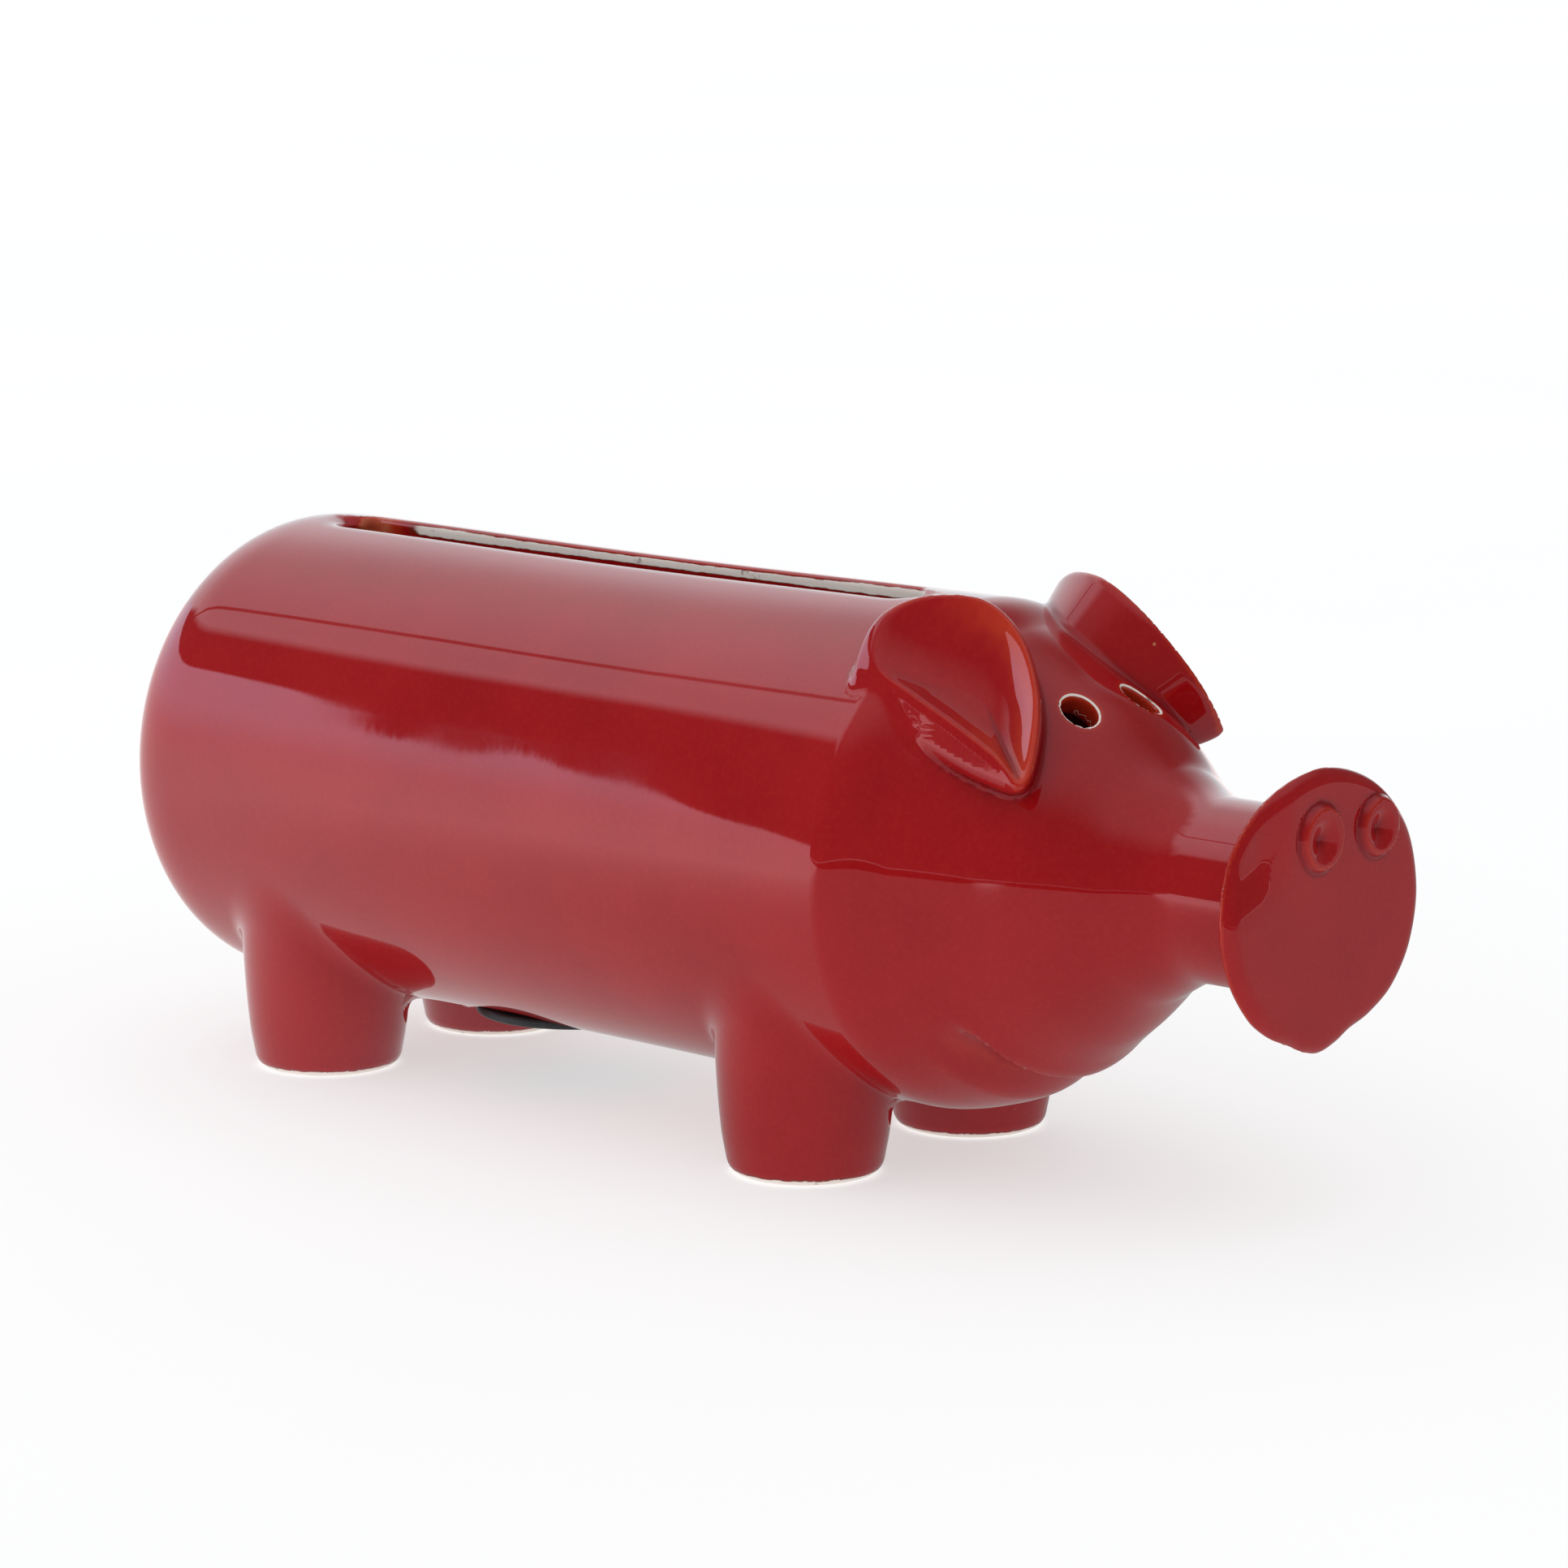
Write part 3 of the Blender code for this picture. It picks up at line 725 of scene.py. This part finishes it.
def split(quads, owners):
    """Triangles of each piece, and the loops of points round the seams between pieces.

    A seam is closed by a fan from a hub inside the clay. Hub number k, of loop k, has the index -1 - k.
    """
    triangles = np.concatenate([quads[:, [0, 1, 2]], quads[:, [0, 2, 3]]])
    owned = np.concatenate([owners, owners])
    pieces = {name: [triangles[owned == k]] for k, name in enumerate(CERAMIC)}
    edges = {}
    for name, parts in pieces.items():
        a, b, c = parts[0].T
        edges[name] = {pair for ends in ((a, b), (b, c), (c, a)) for pair in zip(*(e.tolist() for e in ends))}
    loops = []
    for name, parent in JOINED_TO.items():
        ends = {}
        for a, b in edges[name]:
            if (b, a) in edges[parent]:
                ends.setdefault(a, []).append(b)
        while ends:
            start = next(iter(ends))
            loop = [start]
            while loop[-1] in ends:
                onward = ends[loop[-1]].pop()
                if not ends[loop[-1]]:
                    del ends[loop[-1]]
                if onward == start:
                    break
                loop.append(onward)
            hub = -1 - len(loops)
            loops.append(loop)
            ring = list(zip(loop, loop[1:] + loop[:1]))
            pieces[name].append(np.array([(b, a, hub) for a, b in ring]))
            pieces[parent].append(np.array([(a, b, hub) for a, b in ring]))
    return {name: np.concatenate(parts) for name, parts in pieces.items()}, loops


def finer(faces, points, normals, marks):
    """A piece with each visible face as four, and the points, normals and marks with its new points added.

    A new point lies on the surface or, along a seam, halfway between its neighbours.
    """
    fan = (faces < 0).any(axis=1)
    a, b, c = faces[~fan].T
    pairs = np.sort(np.concatenate([np.stack(pair, 1) for pair in ((a, b), (b, c), (c, a))]), axis=1)
    pairs, which, uses = np.unique(pairs, axis=0, return_inverse=True, return_counts=True)
    ab, bc, ca = len(points) + which.reshape(3, -1)
    quarters = [np.stack(corners, 1) for corners in ((a, ab, ca), (ab, b, bc), (ca, bc, c), (ab, bc, ca))]
    spot = {tuple(pair): len(points) + k for k, pair in enumerate(pairs.tolist())}
    halves = []
    for one, two, hub in faces[fan].tolist():
        middle = spot[min(one, two), max(one, two)]
        halves += [(one, middle, hub), (middle, two, hub)]
    seam = uses == 1
    added = points[pairs].mean(axis=1)
    added[~seam] = onto_surface(added[~seam])
    facing = unit(gradient(added))
    facing[seam] = unit(normals[pairs[seam]].mean(axis=1))
    mark = glaze_marks(added)
    mark[seam] = marks[pairs[seam]].mean(axis=1)
    faces = np.concatenate(quarters + [np.array(halves)])
    grown = [np.concatenate(pair) for pair in ((points, added), (normals, facing), (marks, mark))]
    return faces, *grown


def settled(owners, quads, count):
    """Owners of the faces, with each piece kept to its one largest patch."""
    edges = {}
    for face, quad in enumerate(quads.tolist()):
        for k in range(4):
            a, b = quad[k], quad[(k + 1) % 4]
            edges.setdefault((min(a, b), max(a, b)), []).append(face)
    beside = [[] for _ in range(count)]
    for faces in edges.values():
        for face in faces:
            beside[face].extend(other for other in faces if other != face)
    owners = owners.copy()
    for k in range(1, len(CERAMIC)):
        left = set(np.flatnonzero(owners == k).tolist())
        patches = []
        while left:
            patch = [left.pop()]
            for face in patch:
                for other in beside[face]:
                    if other in left:
                        left.remove(other)
                        patch.append(other)
            patches.append(patch)
        patches.sort(key=len)
        home = CERAMIC.index(JOINED_TO[CERAMIC[k]])
        for patch in patches[:-1]:
            owners[patch] = home
    for _ in range(6):
        changed = False
        for k in range(1, len(CERAMIC)):
            home = CERAMIC.index(JOINED_TO[CERAMIC[k]])
            for face in np.flatnonzero(owners == k).tolist():
                if sum(owners[other] == home for other in beside[face]) >= 3:
                    owners[face] = home
                    changed = True
        if not changed:
            break
    return owners


def ceramic_pieces():
    """Meshes the fused ceramic and splits it into one object for each piece the potter joined."""
    lines = grid_lines()
    values = sampled(lines)
    points, quads = netted(values, lines)
    points = onto_surface(points)
    points = evened_out(points, quads)
    normals = unit(gradient(points))
    marks = glaze_marks(points)
    owners = settled(owner(points[quads].mean(axis=1)), quads, len(quads))
    pieces, loops = split(quads, owners)
    centres = np.array([points[loop].mean(axis=0) for loop in loops])
    outward = unit(np.array([normals[loop].mean(axis=0) for loop in loops]))
    hubs = centres - SEAM_SUNK * outward
    for name in FINE_PIECES:
        pieces[name], points, normals, marks = finer(pieces[name], points, normals, marks)
    made = {}
    for name, faces in pieces.items():
        used, renumbered = np.unique(faces, return_inverse=True)
        place = np.where((used < 0)[:, None], hubs[-1 - np.minimum(used, -1)], points[np.maximum(used, 0)])
        facing = normals[np.maximum(used, 0)]
        mark = marks[np.maximum(used, 0)]
        mesh = bpy.data.meshes.new(name + "_glazed")
        mesh.from_pydata(place.tolist(), [], renumbered.reshape(-1, 3).tolist())
        layer = mesh.attributes.new("glaze", "FLOAT_COLOR", "POINT")
        layer.data.foreach_set("color", mark.astype(np.float32).ravel())
        mesh.shade_smooth()
        mesh.normals_split_custom_set_from_vertices(facing.tolist())
        made[name] = bpy.data.objects.new(name + "_glazed", mesh)
        bpy.context.scene.collection.objects.link(made[name])
    return made


# Rubber stopper


def stopper_piece():
    """The moulded plug: flange with a rounded edge and a sunk thumb pad, and a ribbed, hollow neck."""
    flange_z = STOPPER_LOW.z
    top = STOPPER_HIGH.z
    flange_top = SEAT_Z - 0.0003
    neck_r = HOLE_R - 0.0003
    profile = [(0.0, flange_top + 0.0010), (neck_r - 0.0032, flange_top + 0.0010)]
    profile += [(neck_r - 0.0026, flange_top + 0.0016), (neck_r - 0.0024, top - 0.0004)]
    profile += [(neck_r - 0.0020, top), (neck_r - 0.0010, top), (neck_r - 0.0003, top - 0.0006)]
    for k in range(3):
        rib = top - 0.0016 - 0.0016 * k
        profile += [(neck_r, rib), (neck_r, rib - 0.0003), (neck_r - 0.0005, rib - 0.0008)]
    profile += [(neck_r - 0.0005, flange_top + 0.0002), (neck_r - 0.0002, flange_top)]
    corner = 0.0005
    for centre_z, start in ((flange_top - corner, 90), (flange_z + corner, 0)):
        for turn in np.radians(np.linspace(start, start - 90, 6)):
            profile.append((FLANGE_R - corner + corner * math.cos(turn), centre_z + corner * math.sin(turn)))
    profile += [(0.0104, flange_z), (0.0101, flange_z + 0.0002), (0.0098, flange_z + 0.0007)]
    profile += [(0.0094, flange_z + 0.0008), (0.0040, flange_z + 0.0006), (0.0, flange_z + 0.0005)]
    bm = bmesh.new()
    chain = [bm.verts.new((r, 0, z)) for r, z in profile]
    spokes = [bm.edges.new(pair) for pair in zip(chain, chain[1:])]
    bmesh.ops.spin(bm, geom=chain + spokes, cent=(0, 0, 0), axis=(0, 0, 1), angle=math.tau, steps=96)
    bmesh.ops.remove_doubles(bm, verts=bm.verts, dist=0.00002)
    bmesh.ops.recalc_face_normals(bm, faces=bm.faces)
    bmesh.ops.translate(bm, verts=bm.verts, vec=(0, STOPPER_Y, 0))
    mesh = bpy.data.meshes.new("stopper_moulded")
    bm.to_mesh(mesh)
    bm.free()
    mesh.shade_smooth()
    mesh.set_sharp_from_angle(angle=math.radians(50))
    piece = bpy.data.objects.new("stopper_moulded", mesh)
    bpy.context.scene.collection.objects.link(piece)
    return piece


# Materials


class Nodes:
    """Short calls that add nodes to one node tree and link them."""

    def __init__(self, tree):
        self.tree = tree

    def add(self, kind, settings=(), **inputs):
        node = self.tree.nodes.new(kind)
        for name, value in dict(settings).items():
            setattr(node, name, value)
        for name, value in inputs.items():
            self.put(node.inputs[name.replace("_", " ")], value)
        return node

    def put(self, socket, value):
        if isinstance(value, bpy.types.NodeSocket):
            self.tree.links.new(value, socket)
        else:
            socket.default_value = value

    def math(self, operation, *values, clamp=False):
        node = self.tree.nodes.new("ShaderNodeMath")
        node.operation = operation
        node.use_clamp = clamp
        for socket, value in zip(node.inputs, values):
            self.put(socket, value)
        return node.outputs[0]

    def between(self, value, low, high, to_low=0.0, to_high=1.0):
        node = self.tree.nodes.new("ShaderNodeMapRange")
        node.interpolation_type = "SMOOTHSTEP"
        for name, setting in (
            ("Value", value),
            ("From Min", low),
            ("From Max", high),
            ("To Min", to_low),
            ("To Max", to_high),
        ):
            self.put(node.inputs[name], setting)
        return node.outputs["Result"]

    def mix(self, share, first, second):
        node = self.tree.nodes.new("ShaderNodeMix")
        node.data_type = "RGBA"
        for socket, value in zip((node.inputs[0], node.inputs[6], node.inputs[7]), (share, first, second)):
            self.put(socket, value)
        return node.outputs[2]

    def noise(self, place, scale, detail=2.0, roughness=0.5):
        node = self.add("ShaderNodeTexNoise", Vector=place, Scale=scale, Detail=detail, Roughness=roughness)
        return node.outputs["Fac"]


def new_material(name):
    material = bpy.data.materials.new(name)
    material.use_nodes = True
    shader = material.node_tree.nodes["Principled BSDF"]
    return material, Nodes(material.node_tree), shader


DEEP_RED = (0.310, 0.0026, 0.0050, 1)
RICH_RED = (0.360, 0.0052, 0.0074, 1)
ORANGE = (0.50, 0.038, 0.012, 1)
AMBER = (0.66, 0.26, 0.13, 1)
# Cream of unglazed clay; also the colour of the painted highlight along the coin slot's far wall.
CLAY_AND_HIGHLIGHT = (0.93, 0.87, 0.80, 1)
SCORCH = (0.12, 0.030, 0.012, 1)
# Darker red for hollows and creases: pooled glaze, partly painted shade.
POOLED_AND_SHADED = (0.160, 0.0012, 0.0035, 1)


def glaze_material():
    """Glossy oxblood glaze that breaks to orange and unglazed clay on edges, with fine bubbles and pits, and
    with painted light: highlights on the jaw and along the coin slot's far wall, and partly painted shade in
    hollows and creases.
    """
    material, make, shader = new_material("oxblood_glaze")
    place = make.add("ShaderNodeTexCoord").outputs["Object"]
    painted = make.add("ShaderNodeAttribute", {"attribute_name": "glaze"})
    marks = make.add("ShaderNodeSeparateColor", Color=painted.outputs["Color"])
    thin, bare_and_highlight, pool_and_shade = marks.outputs[0], marks.outputs[1], marks.outputs[2]

    cloud = make.noise(place, 38.0, 4.0, 0.6)
    mottle = make.noise(place, 1300.0, 3.0, 0.65)
    fleck = make.noise(place, 420.0, 2.0, 0.5)
    colour = make.mix(make.between(cloud, 0.3, 0.7), DEEP_RED, RICH_RED)
    colour = make.mix(make.between(mottle, 0.42, 0.78, 0.0, 0.14), colour, ORANGE)

    # The thin mark carries thin glaze on edges and the painted highlight on the jaw.
    thin_and_highlight = make.math("ADD", thin, make.math("MULTIPLY", make.math("SUBTRACT", fleck, 0.5), 0.30))
    colour = make.mix(make.math("MULTIPLY", make.between(thin_and_highlight, 0.06, 0.75), 0.85), colour, ORANGE)
    colour = make.mix(make.between(thin_and_highlight, 0.62, 1.15), colour, AMBER)
    # Darker in hollows and creases: pooled glaze, partly painted shade.
    colour = make.mix(make.math("MULTIPLY", pool_and_shade, 0.65), colour, POOLED_AND_SHADED)

    past_edge = make.math("ABSOLUTE", make.math("SUBTRACT", painted.outputs["Alpha"], 0.10))
    rim = make.between(past_edge, 0.34, 0.16)
    bare_and_highlight = make.math("MAXIMUM", bare_and_highlight, make.math("MULTIPLY", rim, 0.72))
    ragged = make.math("ADD", bare_and_highlight, make.math("MULTIPLY", make.math("SUBTRACT", fleck, 0.5), 0.5))
    edge = make.math("MULTIPLY", make.between(ragged, 0.10, 0.35), make.between(ragged, 0.75, 0.5))
    colour = make.mix(make.math("MULTIPLY", edge, 0.55), colour, SCORCH)
    # Clay colour for the unglazed feet and eye rims, and for the painted highlight along the coin slot's far
    # wall.
    clay = make.between(ragged, 0.35, 0.62)
    soot = make.between(make.noise(place, 260.0, 3.0, 0.7), 0.60, 0.72)
    clay_and_highlight_colour = make.mix(make.math("MULTIPLY", soot, 0.75), CLAY_AND_HIGHLIGHT, SCORCH)
    colour = make.mix(clay, colour, clay_and_highlight_colour)

    pits = make.add("ShaderNodeTexVoronoi", Vector=place, Scale=105.0, Randomness=1.0)
    pit_size = make.between(make.noise(place, 60.0), 0.50, 0.68, 0.0, 0.030)
    pit = make.between(make.math("SUBTRACT", pit_size, pits.outputs["Distance"]), 0.0, 0.012)
    colour = make.mix(make.math("MULTIPLY", pit, 0.7), colour, AMBER)
    make.put(shader.inputs["Base Color"], colour)

    gloss = make.between(make.noise(place, 55.0, 3.0), 0.3, 0.7, 0.020, 0.050)
    make.put(shader.inputs["Roughness"], make.math("ADD", gloss, make.math("MULTIPLY", clay, 0.6)))
    shader.inputs["IOR"].default_value = 1.85
    shader.inputs["Specular Tint"].default_value = (1.0, 0.60, 0.66, 1)

    wave = make.noise(place, 38.0, 1.0, 0.3)
    wave_bump = make.add("ShaderNodeBump", Strength=1.0, Distance=0.00006, Height=wave)
    orange_peel = make.noise(place, 430.0, 2.0, 0.5)
    peel_bump = make.add("ShaderNodeBump", Strength=1.0, Distance=0.0000012, Height=orange_peel)
    make.put(peel_bump.inputs["Normal"], wave_bump.outputs["Normal"])
    pit_bump = make.add("ShaderNodeBump", {"invert": True}, Strength=0.7, Distance=0.00008, Height=pit)
    make.put(pit_bump.inputs["Normal"], peel_bump.outputs["Normal"])
    grit = make.math("MULTIPLY", make.noise(place, 2600.0, 2.0), clay)
    grit_bump = make.add("ShaderNodeBump", Strength=0.6, Distance=0.00006, Height=grit)
    make.put(grit_bump.inputs["Normal"], pit_bump.outputs["Normal"])
    make.put(shader.inputs["Normal"], grit_bump.outputs["Normal"])
    return material


def rubber_material():
    """Matt dark grey moulded rubber, dusty in its texture."""
    material, make, shader = new_material("stopper_rubber")
    place = make.add("ShaderNodeTexCoord").outputs["Object"]
    dust = make.between(make.noise(place, 180.0, 4.0, 0.6), 0.45, 0.75)
    colour = make.mix(dust, (0.022, 0.024, 0.028, 1), (0.060, 0.062, 0.066, 1))
    make.put(shader.inputs["Base Color"], colour)
    make.put(shader.inputs["Roughness"], make.between(dust, 0.0, 1.0, 0.48, 0.68))
    shader.inputs["IOR"].default_value = 1.5
    grain = make.add("ShaderNodeBump", Strength=0.4, Distance=0.00004, Height=make.noise(place, 2200.0, 3.0))
    make.put(shader.inputs["Normal"], grain.outputs["Normal"])
    return material


def floor_material():
    """A white table that glows a little. In the glaze it shows painted light of its own: brighter behind the
    pig, where the window is, than before it, with painted shade before the pig and far off on the near side.
    """
    material, make, shader = new_material("white_table")
    place = make.add("ShaderNodeTexCoord").outputs["Object"]
    tone = make.between(make.noise(place, 3.0, 3.0), 0.3, 0.7)
    make.put(shader.inputs["Base Color"], make.mix(tone, (0.50, 0.50, 0.505, 1), (0.52, 0.52, 0.52, 1)))
    shader.inputs["Roughness"].default_value = 0.7
    shader.inputs["Specular IOR Level"].default_value = 0.1
    shader.inputs["Emission Color"].default_value = (1, 1, 1, 1)
    shader.inputs["Emission Strength"].default_value = 0.57
    parts = make.add("ShaderNodeSeparateXYZ", Vector=place).outputs
    # Painted light and shade seen only in reflections: brighter behind the pig, darker before it.
    behind = make.between(parts[1], -0.06, 0.24, 0.38, 1.22)
    far_side = make.math("MULTIPLY", make.math("ADD", parts[0], parts[1]), -0.7071)
    # Painted shade in reflections, past about a metre on the near side.
    painted_far_shade = make.between(far_side, 0.95, 1.0, 1.0, 0.15)
    # The table's glow as seen in the glaze: painted light, not a lamp.
    mirrored = make.add("ShaderNodeEmission", Color=(1.0, 0.985, 0.98, 1))
    make.put(mirrored.inputs["Strength"], make.math("MULTIPLY", behind, painted_far_shade))
    both = make.add("ShaderNodeMixShader")
    make.put(both.inputs[0], make.add("ShaderNodeLightPath").outputs["Is Glossy Ray"])
    make.put(both.inputs[1], shader.outputs[0])
    make.put(both.inputs[2], mirrored.outputs[0])
    make.put(material.node_tree.nodes["Material Output"].inputs["Surface"], both.outputs[0])
    return material


# Studio


def add_floor():
    bm = bmesh.new()
    bmesh.ops.create_circle(bm, cap_ends=True, segments=96, radius=14.0)
    mesh = bpy.data.meshes.new("floor")
    bm.to_mesh(mesh)
    bm.free()
    floor = bpy.data.objects.new("floor", mesh)
    bpy.context.scene.collection.objects.link(floor)
    floor.data.materials.append(floor_material())


# Rows of (compass turn in degrees from +X towards +Y, height as the sine of the elevation)
CARD_TOP = (
    (-180, 0.0),
    (60, 0.0),
    (85, 0.40),
    (126, 0.43),
    (129.0, 0.40),
    (131.0, 0.355),
    (133.0, 0.27),
    (135.0, 0.19),
    (137.0, 0.11),
    (140.5, 0.0),
    (180, 0.0),
)
WINDOW_FOOT = ((-180, -0.1), (55, -0.1), (80, 0.30), (95, 0.50), (108, 0.56), (120, 0.60), (180, 0.60))
TURN_SPAN = 360.0


def level_by_turn(make, turn, rows):
    """A ramp that gives a height for each compass turn."""
    ramp = make.tree.nodes.new("ShaderNodeValToRGB")
    ramp.color_ramp.interpolation = "LINEAR"
    elements = ramp.color_ramp.elements
    for k, (degrees, height) in enumerate(rows):
        spot = (degrees + TURN_SPAN / 2) / TURN_SPAN
        element = elements[k] if k < len(elements) and k < 2 else elements.new(spot)
        element.position = spot
        element.color = (max(height + 0.1, 0),) * 3 + (1,)
    make.put(ramp.inputs[0], turn)
    return make.math("SUBTRACT", ramp.outputs[0], 0.1)


def add_world():
    """A soft studio: a tall window behind the pig, a low white card left of it, and a dim room round them."""
    world = bpy.data.worlds.new("studio")
    bpy.context.scene.world = world
    world.use_nodes = True
    make = Nodes(world.node_tree)
    direction = make.add("ShaderNodeTexCoord").outputs["Generated"]
    parts = make.add("ShaderNodeSeparateXYZ", Vector=direction).outputs
    degrees = make.math("MULTIPLY", make.math("ARCTAN2", parts[1], parts[0]), 180 / math.pi)
    turn = make.math("DIVIDE", make.math("ADD", degrees, TURN_SPAN / 2), TURN_SPAN)
    height = parts[2]

    window = make.between(make.math("SUBTRACT", height, level_by_turn(make, turn, WINDOW_FOOT)), -0.02, 0.03)
    window = make.math("MULTIPLY", window, make.between(degrees, 10, 34))
    window = make.math("MULTIPLY", window, make.between(degrees, 150, 122))
    window = make.math("MULTIPLY", window, make.between(height, 0.92, 0.76))
    tilt = make.math("ARCTAN2", height, make.math("MULTIPLY", parts[0], -1.0))
    bar = make.between(make.math("ABSOLUTE", make.math("SUBTRACT", tilt, math.radians(73.6))), 0.022, 0.010)
    bar = make.math("MULTIPLY", bar, make.between(degrees, 88, 98))
    window = make.math("MULTIPLY", window, make.math("SUBTRACT", 1.0, make.math("MULTIPLY", bar, 0.92)))
    card = make.between(make.math("SUBTRACT", level_by_turn(make, turn, CARD_TOP), height), -0.006, 0.006)

    room = make.between(height, 0.60, 0.92, 0.12, 0.46)
    pane = make.mix(make.between(height, 0.45, 0.68), (1.02, 1.26, 1.30, 1), (0.68, 0.86, 0.89, 1))
    paper = make.mix(make.between(height, 0.05, 0.28), (1.12, 1.06, 1.10, 1), (1.10, 1.38, 1.68, 1))
    light = make.mix(window, (0, 0, 0, 1), pane)
    light = make.mix(card, light, paper)
    tree = world.node_tree
    total = make.add("ShaderNodeVectorMath", {"operation": "ADD"})
    make.put(total.inputs[0], light)
    make.put(total.inputs[1], room)
    mirrored = make.add("ShaderNodeBackground", Color=total.outputs[0], Strength=1.0)
    lit = make.add("ShaderNodeBackground", Color=(0.98, 0.99, 1.0, 1))
    toward_lamp = make.add("ShaderNodeVectorMath", {"operation": "DOT_PRODUCT"})
    make.put(toward_lamp.inputs[0], direction)
    toward_lamp.inputs[1].default_value = (-0.62, 0.58, 0.53)
    make.put(lit.inputs["Strength"], make.between(toward_lamp.outputs["Value"], -0.8, 1.0, 0.36, 1.06))
    plain = make.add("ShaderNodeBackground", Color=(1, 1, 1, 1), Strength=1.0)
    path = make.add("ShaderNodeLightPath")
    soft = make.add("ShaderNodeMixShader")
    make.put(soft.inputs[0], path.outputs["Is Glossy Ray"])
    make.put(soft.inputs[1], lit.outputs[0])
    make.put(soft.inputs[2], mirrored.outputs[0])
    both = make.add("ShaderNodeMixShader")
    make.put(both.inputs[0], path.outputs["Is Camera Ray"])
    make.put(both.inputs[1], soft.outputs[0])
    make.put(both.inputs[2], plain.outputs[0])
    make.put(tree.nodes["World Output"].inputs["Surface"], both.outputs[0])


def add_camera():
    a, e = VIEW_AZIMUTH, VIEW_ELEVATION
    back = Vector((math.sin(a) * math.cos(e), -math.cos(a) * math.cos(e), math.sin(e)))
    data = bpy.data.cameras.new("camera")
    data.lens = LENS_MM
    data.sensor_width = 36.0
    data.clip_start = 0.05
    data.clip_end = 100.0
    camera = bpy.data.objects.new("camera", data)
    camera.location = VIEW_TARGET + back * VIEW_DISTANCE
    camera.rotation_mode = "QUATERNION"
    camera.rotation_quaternion = (-back).to_track_quat("-Z", "Y")
    bpy.context.scene.collection.objects.link(camera)
    bpy.context.scene.camera = camera


def main():
    bpy.context.scene.view_settings.view_transform = "Standard"
    add_camera()
    add_world()
    add_floor()
    glaze = glaze_material()
    for name, piece in ceramic_pieces().items():
        piece.data.materials.append(glaze)
        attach(piece, "bank")
        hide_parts(name)
    stopper = stopper_piece()
    stopper.data.materials.append(rubber_material())
    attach(stopper, "stopper")
    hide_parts("belly_stopper")


main()
